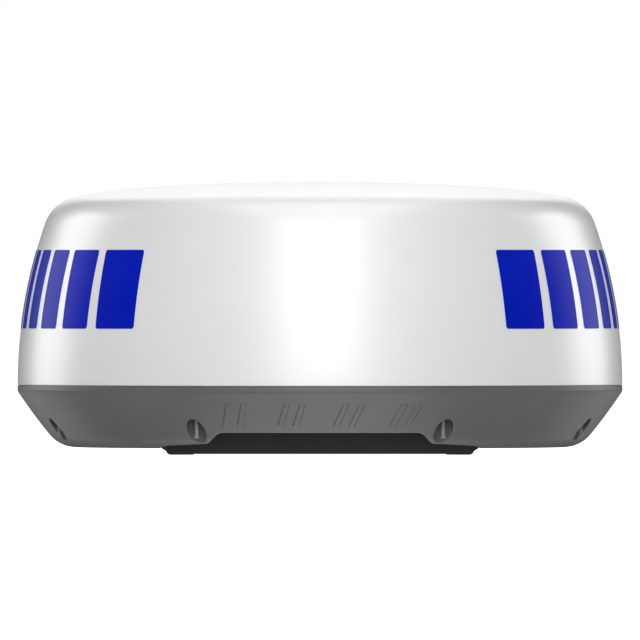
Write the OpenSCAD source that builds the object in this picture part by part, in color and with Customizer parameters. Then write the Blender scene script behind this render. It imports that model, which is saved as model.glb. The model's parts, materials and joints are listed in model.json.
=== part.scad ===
// Radar dome antenna: a moulded radome on a cast base, with a rotating panel antenna inside.
// Z is up, the front faces -Y, and z = 0 is the surface that the mounting pads rest on.

/* [Radome] */
// Outside diameter of the radome and of the base's rim
dome_d = 510; // [500:1:520]
// Height of the radome above the seam
dome_h = 171; // [168:1:176]
// Wall of the radome
dome_wall = 4; // [3:0.5:4.5]
// Radius of the rounded shoulder, in section
shoulder_r = 33.4; // [30:0.2:36]
// Radius of the band between crown and shoulder, in section
haunch_r = 402; // [380:2:420]

/* [Base] */
// Height of the seam above the mounting surface
seam_z = 58.5; // [57:0.5:60]
// Height of the casting's flat underside
base_z = 5.8; // [5:0.2:6.4]
// Wall of the casting
base_wall = 3.5; // [3:0.5:4]
// Slope of the base's side, from the vertical
base_slope = 36.4; // [35:0.2:38]
// Radius between the side and the underside
base_corner_r = 29; // [24:1:32]

/* [Cover screws] */
// Diameter of the pockets that the cover screws sit in
pocket_d = 18.7; // [17:0.1:19.5]
// Radius of the circle that the pockets lie on
pocket_ring_r = 230; // [229:0.5:231]
// Height of the pockets' ceiling
pocket_top_z = 34; // [33:0.5:35]

/* [Mounting] */
// Spacing of the mounting threads, side to side
bolt_x = 233; // [230:1:236]
// Spacing of the mounting threads, front to back
bolt_y = 141.5; // [138:0.5:145]
// Diameter of the rubber pads around the mounting threads
pad_d = 21; // [20:0.2:24]

/* [Drive] */
// Module of the gear pair
gear_module = 1.25; // [1.2:0.01:1.26]
// Teeth of the drive gear
gear_teeth = 96; // [96:1:96]
// Teeth of the motor pinion
pinion_teeth = 18; // [18:1:18]
// Face width of the drive gear
gear_w = 8; // [6:0.5:8]

/* [Antenna] */
// Length of the panel antenna
array_l = 432; // [400:2:436]
// Height of the panel antenna
array_h = 86; // [70:1:88]
// Columns of radiating patches
patch_columns = 18; // [12:1:20]
// Rows of radiating patches
patch_rows = 3; // [2:1:3]

/* [Marks] */
// Height of the side graphics
graphic_h = 66; // [50:1:70]
// Relief of the raised bars on the base's front
mark_relief = 1; // [0.4:0.1:1.2]

/* [Hidden] */

// Radome section: tangent arcs whose radii meet the diameter and the height exactly
crown_a = 3.8;
haunch_a = 12.06;
shoulder_a = 70.5;
dome_r = dome_d / 2;
dome_top_z = seam_z + dome_h;
arc_reach = dome_r - haunch_r * (sin(haunch_a) - sin(crown_a))
    - shoulder_r * (sin(shoulder_a) - sin(haunch_a));
arc_drop = dome_h - haunch_r * (cos(crown_a) - cos(haunch_a))
    - shoulder_r * (cos(haunch_a) - cos(shoulder_a));
arc_det = sin(crown_a) * cos(shoulder_a) - (1 - sin(shoulder_a)) * (1 - cos(crown_a));
crown_r = (arc_reach * cos(shoulder_a) - arc_drop * (1 - sin(shoulder_a))) / arc_det;
flank_r = (arc_drop * sin(crown_a) - arc_reach * (1 - cos(crown_a))) / arc_det;
crown_c = [0, dome_top_z - crown_r];
haunch_c = crown_c + (crown_r - haunch_r) * [sin(crown_a), cos(crown_a)];
shoulder_c = haunch_c + (haunch_r - shoulder_r) * [sin(haunch_a), cos(haunch_a)];
flank_c = shoulder_c + (shoulder_r - flank_r) * [sin(shoulder_a), cos(shoulder_a)];

// Base section
seam_gap = 0.3;
lip_h = 5.6;
lip_r = 5;
lip_c = [dome_r - lip_r, seam_z - lip_h + lip_r * tan(base_slope / 2)];
corner_z = base_z + base_corner_r;
corner_c = [
    dome_r - (seam_z - lip_h - corner_z) * tan(base_slope) - base_corner_r / cos(base_slope),
    corner_z
];
ledge_z = 52;
tongue_z = 54;

// Channel through the underside, and the plinth that fills its middle
wide_x = 134;
wide_edge_z = 7.8;
wide_z = 9.9;
narrow_x = 93.5;
narrow_z = 19.2;
narrow_rise = 46;
narrow_corner_r = 2.5;
narrow_c = [
    narrow_x - (narrow_corner_r + (narrow_z - narrow_corner_r - wide_z) * cos(narrow_rise))
        / sin(narrow_rise),
    narrow_z - narrow_corner_r
];
plinth_gap = 0.4;
plinth_z = 0.75;
plinth_y = 100;
plinth_x = 127.7;
plinth_knee = [129.6, 3.4];
plinth_rim_x = 133.3;
pad_h = 3;

// Connector well at the back of the channel
well_x = 46;
well_y0 = 68;
well_y1 = 125;
well_z = 50;
socket_x = 22;
socket_z = 35.5;
cover_post_x = 56;
cover_post_y = [75, 119];
cover_y = [64, 126];
vent_at = [-112, 150];
vent_z = 8.4;
vent_wall = 4.6;

// Cover screws: eight, in mirrored pairs measured from the front and from the back
screw_angles = [for (a = [26.55, 72.1], side = [-90 - a, -90 + a, 90 - a, 90 + a]) side];
boss_d = pocket_d + 6;
boss_top_z = pocket_top_z + 4.5;
washer_t = 1.6;
insert_l = 13.5;

// Inside the base
seat_r = 46;
seat_z = 32;
floor_z = narrow_z + base_wall;
shield_z = 70;
shield_t = 2;
shield_r = 214;
standoff_z = 26;
stud_l = 4.5;
standoff_ring = [for (a = [20, 90, 160, 200, 270, 340]) 205 * [cos(a), sin(a)]];
board_z = 30;
board_t = 1.6;
left_board_x = [-182, -58];
left_board_posts = [[-176, 82], [-176, -82], [-66, 60], [-66, -60]];
right_board_posts = [[64, 14], [64, 58], [176, 14], [176, 58]];
rf_posts = [[66, -12], [66, -62], [168, -12], [168, -62]];
post_d = 8;
plinth_screw_at = [[-70, -84], [70, -84], [-74, 84], [74, 84]];
mount_at = [for (x = [-1, 1], y = [-1, 1]) [x * bolt_x / 2, y * bolt_y / 2]];

// Spindle and bearings: two deep-groove bearings, 20 x 42 x 12
bearing_w = 12;
bearing_bore_r = 10;
bearing_r = 21;
inner_race_r = 12.8;
outer_race_r = 18.2;
ball_r = 3.175;
ball_ring_r = 15.5;
ball_count = 9;
groove_r = 3.25;
lower_bearing_z = 34;
upper_bearing_z = 66;
pedestal_r = 28;
pedestal_top_z = 79;
snug = 0.02;
gear_z = 80;
turntable_z = gear_z + 8;
turntable_t = 4;
turntable_r = 56;
hub_r = 30;
gear_bore_r = 31;

// Gear pair
pressure_a = 20;
backlash = 0.15;
gear_r = gear_module * gear_teeth / 2;
pinion_r = gear_module * pinion_teeth / 2;
motor_y = -(gear_r + pinion_r);
motor_w = 42.3;
motor_h = 40;
motor_bolt = 31;
shaft_r = 2.5;

// Panel antenna, seen from its front
array_z = 100;
array_back_y = 10;
board_face_y = 2;

// The arc from angle a0 to a1, measured from +Z towards +X, about centre c
function arc(c, r, a0, a1, n) =
    [for (i = [0:n]) let (a = a0 + (a1 - a0) * i / n) c + r * [sin(a), cos(a)]];

function flip(list) = [for (i = [len(list) - 1:-1:0]) list[i]];

// Radome section, g outside the nominal surface
function dome_curve(g) = concat(
    arc(crown_c, crown_r + g, 0, crown_a, 6),
    arc(haunch_c, haunch_r + g, crown_a + 1, haunch_a, 6),
    arc(shoulder_c, shoulder_r + g, haunch_a + 4, shoulder_a, 12),
    arc(flank_c, flank_r + g, shoulder_a + 1.5, 90, 12)
);

// Base section from the underside's middle up to the rim, g outside the nominal surface
function base_curve(g) = concat(
    [[0, base_z - g]],
    flip(arc(corner_c, base_corner_r + g, 90 + base_slope, 180, 8)),
    flip(arc(lip_c, lip_r + g, 90, 90 + base_slope, 4)),
    [[dome_r + g, seam_z - seam_gap]]
);

// Half of the channel's section, widened by g
function channel_half(g) = concat(
    [[wide_x + g, 0], [wide_x + g, wide_edge_z + g], [narrow_x + g * tan(narrow_rise / 2), wide_z + g]],
    arc(narrow_c, narrow_corner_r + g, narrow_rise, 0, 4)
);

function mirrored(half) = concat(half, [for (p = flip(half)) [-p[0], p[1]]]);

// Involute tooth flank: the angle that the flank has turned through at radius r
function involute(r, base) = let (a = acos(min(1, base / r))) tan(a) * 180 / PI - a;

// Outline of an external gear, with a tooth centred on +X
function gear_outline(teeth) =
    let (pitch = gear_module * teeth / 2,
        base = pitch * cos(pressure_a),
        tip = pitch + gear_module,
        root = pitch - 1.25 * gear_module,
        start = max(root, base),
        half = 90 / teeth - backlash / pitch * 90 / PI + involute(pitch, base),
        flank = [for (i = [0:3]) let (r = start + (tip - start) * i / 3) [r, half - involute(r, base)]],
        tooth = concat([[root, flank[0][1]]], root < start ? flank : [for (i = [1:3]) flank[i]]),
        side = concat([for (p = tooth) [p[0], -p[1]]], flip(tooth)))
    [for (t = [0:teeth - 1], p = side) let (a = 360 * t / teeth + p[1]) p[0] * [cos(a), sin(a)]];

// Points of a smooth curve through a cable's own points
function spline(p, n) = concat(
    [for (i = [0:len(p) - 2], j = [0:n - 1])
        let (t = j / n, a = p[max(i - 1, 0)], b = p[i], c = p[i + 1], d = p[min(i + 2, len(p) - 1)])
        0.5 * (2 * b + (c - a) * t + (2 * a - 5 * b + 4 * c - d) * t * t
            + (3 * b - a - 3 * c + d) * t * t * t)],
    [p[len(p) - 1]]
);

function unit(v) = v / norm(v);

// Routes of the leads inside the housing
power_route = [[socket_x, 53, socket_z], [socket_x, 48, socket_z], [33, 42, 35.5], [47, 33, 35],
    [56, 30, 35], [61, 30, 35]];
network_route = [[-socket_x, 53, socket_z], [-socket_x, 48, socket_z], [-34, 40, 35.5],
    [-48, 24, 35], [-55, 10.5, 35], [-61, 10, 35]];
motor_route = [[-22, -71, 40], [-27, -71, 40], [-40, -60, 38], [-53, -43, 35.5], [-56, -38, 35],
    [-61, -38, 35]];
jumper_route = [[14.4, 0, 26], [20, 0, 26], [32, -5, 26], [44, -12, 26.5], [53, -20, 32], [57, -26, 37.5],
    [61.4, -26, 38]];
feed_route = [[0, 0, 37], [0, 0, 60], [0, 0, 84], [0, 0.5, 93.5], [0, 6, 97.2], [0, 13.5, 98.5],
    [0, 19, 106], [0, 20, 118], [0, 19.5, 130], [0, 18, 138], [0, 14, 142], [0, 9.8, 142]];

module cable(route, r) {
    path = spline(route, 4);
    n = len(path);
    sides = 8;
    points = [
        for (i = [0:n - 1])
            let (t = unit(path[min(i + 1, n - 1)] - path[max(i - 1, 0)]),
                u = unit(cross(t, abs(t[0]) < 0.8 ? [1, 0, 0] : [0, 1, 0])),
                v = cross(t, u))
            for (k = [0:sides - 1]) path[i] + r * (cos(360 * k / sides) * u + sin(360 * k / sides) * v)
    ];
    tube = [
        for (i = [0:n - 2], k = [0:sides - 1])
            let (q = (k + 1) % sides) [i * sides + k, (i + 1) * sides + k, (i + 1) * sides + q, i * sides + q]
    ];
    ends = [[for (k = [0:sides - 1]) k], flip([for (k = [0:sides - 1]) (n - 1) * sides + k])];
    polyhedron(points, concat(tube, ends));
}

module ring(outer, inner, z, h) {
    translate([0, 0, z])
        rotate_extrude($fn = 96)
            translate([inner, 0])
                square([outer - inner, h]);
}

module rod(r, z, h) {
    translate([0, 0, z])
        cylinder(r = r, h = h, $fn = 48);
}

// A block between two corners
module block(low, high) {
    translate(low)
        cube(high - low);
}

// A socket-head screw pointing down: its head stands on z = 0
module screw(r, length, head_r, head_h) {
    difference() {
        union() {
            rod(head_r, 0, head_h);
            rod(r, -length, length + 0.1);
        }
        translate([0, 0, head_h * 0.4])
            cylinder(r = head_r * 0.5, h = head_h, $fn = 6);
    }
}

module at_each(places) {
    for (p = places)
        translate(p)
            children();
}

module at_pockets() {
    for (a = screw_angles)
        rotate(a)
            translate([pocket_ring_r, 0, 0])
                children();
}

module cover_boss() {
    rib_t = 3;
    rod(6.5, boss_top_z, 40);
    rotate([90, 0, 0])
        linear_extrude(rib_t, center = true)
            polygon([[0, seam_z + 3], [21, seam_z + 3], [21, 92], [17, 92], [0, boss_top_z + 38]]);
}

// The moulded radome, with the bosses that the cover screws pull on
module radome_cover() {
    color("white")
        difference() {
            union() {
                rotate_extrude($fn = 180)
                    polygon(concat(dome_curve(0), flip(dome_curve(-dome_wall))));
                ring(dome_r - 3.8, dome_r - 9.5, tongue_z, seam_z - tongue_z + 2);
                at_pockets() cover_boss();
            }
            at_pockets() rod(3.5, boss_top_z - 1, insert_l + 1.2);
        }
}

// One upright bar of the side graphics, facing out along the direction a from the front
module graphic_bar(a, w) {
    rotate([0, 0, a - 90])
        translate([200, 0, seam_z + 80.5])
            rotate([90, 0, 90])
                linear_extrude(70)
                    square([w, graphic_h], center = true);
}

// Blue vinyl on both sides: bars that narrow from the front to the back
module side_graphics() {
    vinyl_t = 0.25;
    bars = [[43.1, 44], [54.8, 36], [64.8, 30], [73.4, 24], [80.7, 19], [87, 15], [92.5, 12], [97.3, 9],
        [101.5, 7]];
    color("mediumblue")
        intersection() {
            difference() {
                rotate_extrude($fn = 180)
                    polygon(concat(dome_curve(vinyl_t), [[0, seam_z]]));
                rotate_extrude($fn = 180)
                    polygon(concat([[0, dome_top_z + 9]], dome_curve(0), [[0, seam_z - 9]]));
            }
            for (side = [0, 1])
                mirror([side, 0, 0])
                    for (b = bars)
                        graphic_bar(b[0], b[1]);
        }
}

module cover_inserts() {
    color("goldenrod")
        at_pockets() ring(3.5 - snug, 2.5, boss_top_z, insert_l);
}

module rim_gasket() {
    color("dimgray")
        ring(dome_r - 5.3, dome_r - 9, ledge_z, tongue_z - ledge_z);
}

module channel(g, y0, y1) {
    translate([0, y1, 0])
        rotate([90, 0, 0])
            linear_extrude(y1 - y0)
                polygon(mirrored(channel_half(g)));
}

// Two slanted raised bars, standing out of the base's side in the direction a from the front
module raised_mark(a) {
    rotate([0, 0, a - 90])
        translate([215, 0, 34.5])
            rotate([90, 0, 90])
                for (x = [-6.5, 6.5])
                    linear_extrude(40)
                        polygon([[x - 7, -10], [x - 1, -10], [x + 7, 10], [x + 1, 10]]);
}

module raised_marks() {
    intersection() {
        rotate_extrude($fn = 180)
            polygon(concat(base_curve(mark_relief), flip(base_curve(-base_wall / 2))));
        for (a = [-17.2, -5.7, 5.7, 17.2])
            raised_mark(a);
    }
}

module base_outside(g, top) {
    rotate_extrude($fn = 180)
        polygon(concat(base_curve(g), [[dome_r + g, top], [0, top]]));
}

// Everything that stands up from the casting's floor
module base_inside_bosses() {
    channel(base_wall, -dome_r, dome_r);
    at_pockets() rod(boss_d / 2, base_z, boss_top_z - base_z);
    ring(seat_r, 36, narrow_z, seat_z - narrow_z);
    at_each(mount_at) rod(12, wide_z, 18);
    translate(vent_at) rod(10, vent_z, vent_wall);
    at_each(plinth_screw_at) rod(5, narrow_z, board_z - narrow_z);
    at_each(standoff_ring) rod(6, base_z, standoff_z - base_z);
    at_each(concat(left_board_posts, right_board_posts, rf_posts))
        rod(post_d / 2, base_z, board_z - base_z);
    block([-well_x - base_wall, well_y0 - base_wall, narrow_z],
        [well_x + base_wall, well_y1 + base_wall, well_z + base_wall]);
}

// Holes and hollows of the casting
module base_cuts() {
    channel(0, -dome_r - 5, dome_r + 5);
    at_pockets() {
        rod(pocket_d / 2, 0, pocket_top_z);
        rod(2.9, 0, 60);
    }
    block([-well_x, well_y0, 0], [well_x, well_y1, well_z]);
    at_each(mount_at) rod(7, 5, 19.2);
    at_each(plinth_screw_at) rod(2, 5, 23);
    at_each(standoff_ring) rod(2, standoff_z - stud_l - 0.5, 20);
    at_each(concat(left_board_posts, right_board_posts, rf_posts)) rod(1.5, board_z - 7, 20);
    for (a = [45:90:315])
        rotate(a)
            translate([39, 0, 0])
                rod(2, seat_z - 9.5, 20);
    for (x = [-socket_x, socket_x])
        translate([x, well_y0 + 5, socket_z])
            rotate([90, 0, 0])
                cylinder(r = 9, h = 15, $fn = 48);
    translate(vent_at)
        rod(5, 0, 20);
    block([30, -16, floor_z], [50, 4, seat_z - 2]);
}

module cable_cover_posts() {
    for (x = [-cover_post_x, cover_post_x], y = cover_post_y)
        translate([x, y, 0])
            difference() {
                rod(4.5, 9.2, narrow_z - 9.2 + 1);
                rod(1.6, 8, 9.5);
            }
}

// Inward step that the rim gasket lies on
module gasket_ledge() {
    rotate_extrude($fn = 180)
        polygon([[dome_r - 11, ledge_z], [dome_r - 2.5, ledge_z], [dome_r - 9, 43],
            [dome_r - 12, 42]]);
}

// Flat seat for the vent on the channel's sloping ceiling
module vent_seat() {
    translate(vent_at) ring(10, 5, vent_z, wide_z - vent_z);
}

// The cast base: shell, channel, bosses, connector well and raised front marks
module base_casting() {
    color("gray") {
        difference() {
            intersection() {
                base_outside(0, seam_z - seam_gap);
                union() {
                    difference() {
                        rod(dome_r + 10, 0, seam_z + 5);
                        base_outside(-base_wall, seam_z + 9);
                    }
                    base_inside_bosses();
                    gasket_ledge();
                }
            }
            base_cuts();
        }
        raised_marks();
        cable_cover_posts();
        vent_seat();
    }
}

// Screw with a flat collar and a slim stem, turned from below by the stem's hexagonal foot
module cover_screws() {
    head_top = pocket_top_z - washer_t;
    foot_z = 14.4;
    color("silver")
        at_pockets() {
            rod(2.45, head_top - 0.1, 17);
            rod(5.2, head_top - 2.4, 2.4);
            rod(1.7, foot_z + 1, head_top - foot_z - 3);
            translate([0, 0, foot_z])
                cylinder(r = 2.4, h = 2.2, $fn = 6);
        }
}

module cover_screw_washers() {
    color("black")
        at_pockets() ring(6.6, 2.7, pocket_top_z - washer_t, washer_t);
}

// Black slab in the channel, cut open around the connector well
module mounting_plinth() {
    g = -plinth_gap;
    color("#2c2c2e")
        difference() {
            intersection() {
                channel(g, -plinth_y, plinth_y);
                translate([0, plinth_y, 0])
                    rotate([90, 0, 0])
                        linear_extrude(2 * plinth_y)
                            polygon(mirrored([[plinth_x, plinth_z], plinth_knee,
                                [plinth_rim_x, base_z - 0.2], [plinth_rim_x, narrow_z]]));
            }
            block([-64, 62, -1], [64, plinth_y + 1, 30]);
            at_each(mount_at) {
                rod(pad_d / 2 + 0.1, -1, pad_h + 1);
                rod(9.2, -1, pad_h + 4.1);
                rod(7.2, -1, 20);
            }
            at_each(plinth_screw_at) {
                rod(4.6, -1, 7);
                rod(2.2, -1, 30);
            }
        }
}

module plinth_screws() {
    color("silver")
        at_each(plinth_screw_at)
            translate([0, 0, 6])
                mirror([0, 0, 1])
                    screw(1.95, 20, 4, 3);
}

module mounting_pads() {
    color("black")
        at_each(mount_at) ring(pad_d / 2, 4.5, 0, pad_h - 0.05);
}

module mounting_inserts() {
    color("goldenrod")
        at_each(mount_at)
            difference() {
                union() {
                    rod(9, pad_h, 3);
                    rod(7 - snug, pad_h, 21);
                }
                rod(3.4, pad_h - 1, 20);
            }
}

module cable_cover() {
    color("#2c2c2e")
        difference() {
            block([-62, cover_y[0], base_z], [62, cover_y[1], 9.2]);
            for (x = [-cover_post_x, cover_post_x], y = cover_post_y)
                translate([x, y, 0]) {
                    rod(3.4, 0, 8);
                    rod(1.8, 0, 12);
                }
        }
}

module cable_cover_screws() {
    color("silver")
        for (x = [-cover_post_x, cover_post_x], y = cover_post_y)
            translate([x, y, 8])
                mirror([0, 0, 1])
                    screw(1.55, 8, 3.1, 1.9);
}

// A panel socket's body, facing +Y, about its own axis
module socket_shell(r_in) {
    translate([0, well_y0, 0])
        rotate([-90, 0, 0])
            difference() {
                union() {
                    rod(9 - snug, -14, 14.1);
                    rod(13, 1.5, 2.5);
                    rod(9 - snug, -1, 14);
                }
                rod(r_in, 2, 20);
            }
}

module power_socket() {
    color("#2c2c2e")
        translate([socket_x, 0, socket_z])
            socket_shell(7);
}

module network_socket() {
    color("steelblue")
        translate([-socket_x, 0, socket_z])
            socket_shell(6);
}

module socket_gaskets() {
    color("black")
        for (x = [-socket_x, socket_x])
            translate([x, well_y0, socket_z])
                rotate([-90, 0, 0])
                    ring(12.5, 9, 0, 1.5);
}

module socket_nuts() {
    color("silver")
        for (x = [-socket_x, socket_x])
            translate([x, well_y0 - base_wall, socket_z])
                rotate([90, 0, 0])
                    difference() {
                        cylinder(r = 13, h = 4, $fn = 6);
                        rod(9, -1, 6);
                    }
}

module socket_pins() {
    color("gold")
        for (x = [-socket_x, socket_x], a = [0:72:288])
            translate([x, well_y0 + 2, socket_z])
                rotate([-90, 0, 0])
                    rotate([0, 0, a])
                        translate([3.6, 0, 0])
                            rod(0.6, 0, 8);
}

// Pressure-balancing plug in the ceiling of the channel, behind the plinth
module breather_vent() {
    color("#2c2c2e")
        translate(vent_at)
            difference() {
                union() {
                    rod(5 - snug, vent_z - 0.1, 9);
                    rod(8.5, vent_z - 2.6, 2.6);
                    rod(7, vent_z + vent_wall, 3);
                }
                rod(1.5, vent_z - 3, 20);
            }
}

module internal_harness() {
    color("#202020") {
        cable(power_route, 2.6);
        cable(network_route, 2.6);
        cable(motor_route, 2);
    }
}

module shield_standoffs() {
    color("gold")
        at_each(standoff_ring)
            difference() {
                union() {
                    translate([0, 0, standoff_z])
                        cylinder(r = 5, h = shield_z - standoff_z, $fn = 6);
                    rod(1.95, standoff_z - stud_l, stud_l + 1);
                }
                rod(2, shield_z - 10, 12);
            }
}

// Aluminium deck over the electronics, which carries the motor
module shield_plate() {
    color("lightgray")
        difference() {
            rod(shield_r, shield_z, shield_t);
            rod(pedestal_r + 2, shield_z - 1, 5);
            at_each(standoff_ring) rod(2.2, shield_z - 1, 5);
            translate([0, motor_y, 0]) {
                rod(11.1, shield_z - 1, 5);
                at_each(motor_bolts()) rod(1.7, shield_z - 1, 5);
            }
            for (a = [45:90:315])
                rotate(a)
                    translate([130, 0, 0])
                        rod(28, shield_z - 1, 5);
        }
}

module shield_screws() {
    color("silver")
        at_each(standoff_ring)
            translate([0, 0, shield_z + shield_t])
                screw(1.95, 9, 3.5, 2.6);
}

// Turned housing that holds both bearings
module bearing_pedestal() {
    color("silver")
        difference() {
            union() {
                rod(45, seat_z, 6);
                rod(pedestal_r, seat_z, pedestal_top_z - seat_z);
                for (a = [0:90:270])
                    rotate(a)
                        rotate([90, 0, 0])
                            linear_extrude(5, center = true)
                                polygon([[20, seat_z + 3], [42, seat_z + 3], [42, seat_z + 7],
                                    [27, seat_z + 30], [20, seat_z + 30]]);
            }
            rod(bearing_r, lower_bearing_z, 60);
            rod(17, 0, 90);
            for (a = [45:90:315])
                rotate(a)
                    translate([39, 0, 0])
                        rod(2.2, 0, 60);
        }
}

module pedestal_screws() {
    color("silver")
        for (a = [45:90:315])
            rotate(a)
                translate([39, 0, seat_z + 6])
                    screw(1.95, 15, 3.5, 4);
}

module races(inner, outer) {
    for (z = [lower_bearing_z, upper_bearing_z])
        translate([0, 0, z])
            difference() {
                ring(outer, inner, 0, bearing_w);
                rotate_extrude($fn = 96)
                    translate([ball_ring_r, bearing_w / 2])
                        circle(r = groove_r, $fn = 48);
            }
}

module bearing_outer_races() {
    color("silver")
        races(outer_race_r, bearing_r - snug);
}

module bearing_inner_races() {
    color("silver")
        races(bearing_bore_r, inner_race_r);
}

// Balls and their ring-shaped cage, one bearing
module bearing_cage(z) {
    translate([0, 0, z + bearing_w / 2]) {
        color("silver")
            for (i = [0:ball_count - 1])
                rotate(i * 360 / ball_count)
                    translate([ball_ring_r, 0, 0])
                        sphere(r = ball_r, $fn = 40);
        color("saddlebrown")
            difference() {
                ring(ball_ring_r + 0.9, ball_ring_r - 0.9, -4.6, 9.2);
                for (i = [0:ball_count - 1])
                    rotate([0, 90, i * 360 / ball_count])
                        rod(ball_r + 0.15, ball_ring_r - 4, 8);
            }
    }
}

module lower_bearing_cage() {
    bearing_cage(lower_bearing_z);
}

module upper_bearing_cage() {
    bearing_cage(upper_bearing_z);
}

function motor_bolts() = [for (x = [-1, 1], y = [-1, 1]) motor_bolt / 2 * [x, y]];

// Square stepper motor that hangs under the shield plate
module motor_body() {
    color("#3a3a3c")
        translate([0, motor_y, shield_z - motor_h])
            difference() {
                union() {
                    intersection() {
                        translate([-motor_w / 2, -motor_w / 2, 0])
                            cube([motor_w, motor_w, motor_h]);
                        rotate(45)
                            translate([-26, -26, 0])
                                cube([52, 52, motor_h]);
                    }
                    rod(11, motor_h - 0.1, 2.1);
                }
                rod(shaft_r + 0.05, motor_h - 24, 30);
                at_each(motor_bolts()) rod(1.5, motor_h - 5, 6);
            }
}

module motor_screws() {
    color("silver")
        translate([0, motor_y, shield_z + shield_t])
            at_each(motor_bolts()) screw(1.45, 6, 2.75, 2.8);
}

// Magnetic sensor that sees the antenna pass its zero position
module zero_sensor() {
    color("darkgreen")
        block([-8, 40, shield_z + shield_t], [8, 52, shield_z + shield_t + 1.6]);
    color("#202020")
        block([-2.5, 42.5, shield_z + shield_t + 1.6], [2.5, 47.5, shield_z + shield_t + 3.4]);
}

module board(low, high, posts) {
    difference() {
        block([low[0], low[1], board_z], [high[0], high[1], board_z + board_t]);
        at_each(posts) rod(1.7, board_z - 1, 4);
    }
}

module main_board() {
    color("darkgreen")
        board([left_board_x[0], -88], [left_board_x[1], 88], left_board_posts);
}

module main_board_chips() {
    top = board_z + board_t;
    color("#202020") {
        block([-170, -60, top], [-146, -36, top + 2]);
        block([-170, -24, top], [-156, -4, top + 1.4]);
        block([-170, 6, top], [-156, 26, top + 1.4]);
        for (i = [0:3])
            block([-100, -52 + i * 20, top], [-88, -40 + i * 20, top + 1.2]);
        for (i = [0:6])
            block([-150 + i * 10, 66, top], [-146 + i * 10, 72, top + 1]);
    }
}

module processor_heatsink() {
    z = board_z + board_t;
    color("silver") {
        block([-140, -20, z], [-108, 12, z + 4]);
        for (i = [0:7])
            block([-140 + i * 4.3, -20, z + 3.9], [-138.1 + i * 4.3, 12, z + 14]);
    }
}

module board_sockets() {
    z = board_z + board_t;
    color("ivory") {
        block([-72, 2, z], [-62, 18, z + 7]);
        block([-72, -46, z], [-62, -30, z + 7]);
        block([62, 22, z], [72, 38, z + 7]);
    }
}

module power_board() {
    color("darkgreen")
        board([58, 8], [182, 64], right_board_posts);
}

module power_capacitors() {
    color("#26262a")
        for (i = [0:3])
            translate([92 + i * 14, 20, 0])
                rod(5.5, board_z + board_t, 18);
}

module power_inductors() {
    z = board_z + board_t;
    color("peru")
        for (x = [98, 128])
            translate([x, 46, z + 5])
                rotate_extrude($fn = 64)
                    translate([8, 0])
                        circle(r = 4.8, $fn = 24);
}

module board_screws() {
    color("silver") {
        at_each(concat(left_board_posts, right_board_posts))
            translate([0, 0, board_z + board_t])
                screw(1.45, 7, 2.75, 2);
        at_each(rf_posts)
            translate([0, 0, board_z + 2])
                screw(1.45, 7, 2.75, 2);
        at_each(rf_lid_holes())
            translate([0, 0, board_z + 17.5])
                screw(1.15, 6, 2.1, 1.4);
    }
}

// Open tray of the transmitter and receiver, screwed to four posts by its flange
module rf_module() {
    color("silver")
        difference() {
            union() {
                block([60, -68, board_z], [174, -6, board_z + 2]);
                block([72, -68, board_z], [162, -6, board_z + 16]);
                translate([62, -26, 38])
                    rotate([0, 90, 0])
                        rod(3.5, 0, 11);
            }
            block([75, -65, board_z + 3], [159, -9, board_z + 20]);
            at_each(rf_posts) rod(1.7, board_z - 1, 6);
            at_each(rf_lid_holes()) rod(1.2, board_z + 8, 12);
        }
}

function rf_lid_holes() = [for (x = [73.5, 160.5], y = [-66.5, -37, -7.5]) [x, y]];

module rf_module_lid() {
    color("lightgray")
        difference() {
            block([72, -68, board_z + 16], [162, -6, board_z + 17.5]);
            at_each(rf_lid_holes()) rod(1.3, board_z + 10, 12);
        }
}

module coax_jumper() {
    color("#8a6d3b")
        cable(jumper_route, 1.8);
}

// Fixed half of the coaxial rotary joint, on the floor under the spindle
module rotary_joint_stator() {
    color("gold")
        difference() {
            rod(14, floor_z, 7.4);
            rod(5.4, floor_z + 1.5, 10);
        }
}

module rotary_joint_rotor() {
    color("gold") {
        rod(5, floor_z + 2, 6.7);
        rod(8, 30.6, 1);
        rod(3.9, 31.5, 5);
    }
}

// Hollow spindle that carries the antenna, with a hub flange at its top
module spindle() {
    color("silver")
        difference() {
            union() {
                rod(bearing_bore_r - snug, 31.6, 50);
                rod(13, upper_bearing_z + bearing_w, 8);
                rod(hub_r, turntable_z - 4, 4);
            }
            rod(4, 0, 100);
            ring(14, 9, 32.4, 1.4);
            for (a = [0:120:240])
                rotate(a)
                    translate([22, 0, 0])
                        rod(1.6, 80, 20);
        }
}

module bearing_spacer() {
    color("silver")
        ring(12.6, bearing_bore_r, lower_bearing_z + bearing_w,
            upper_bearing_z - lower_bearing_z - bearing_w);
}

module spindle_circlip() {
    color("#303030")
        difference() {
            ring(12.6, 9.05, 32.5, 1.2);
            block([-15, -2, 30], [0, 2, 36]);
        }
}

module turntable() {
    color("lightgray")
        difference() {
            rod(turntable_r, turntable_z, turntable_t);
            rod(4.5, 80, 20);
            for (a = [0:120:240])
                rotate(a)
                    translate([22, 0, 0])
                        rod(1.8, 80, 20);
            at_each(gear_bolts()) rod(1.7, 80, 20);
            at_each(bracket_bolts()) rod(2, 80, 20);
        }
}

function gear_bolts() = [for (a = [45:90:315]) 50 * [cos(a), sin(a)]];
function bracket_bolts() = [for (x = [-38, 38], y = [-14, 6]) [x, y]];

// Spur gear bolted under the turntable
module drive_gear() {
    color("ivory")
        difference() {
            translate([0, 0, gear_z])
                rotate(-90)
                    linear_extrude(gear_w)
                        polygon(gear_outline(gear_teeth));
            rod(gear_bore_r, 70, 30);
            at_each(gear_bolts()) {
                rod(1.7, 70, 30);
                rod(3.3, gear_z - 1, 4);
            }
            translate([0, 45, 0])
                rod(3, gear_z - 1, 4);
            for (a = [0:15:345])
                if (a % 45 != 0)
                    rotate(a)
                        translate([43, 0, 0])
                            rod(4, 70, 30);
        }
}

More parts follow.
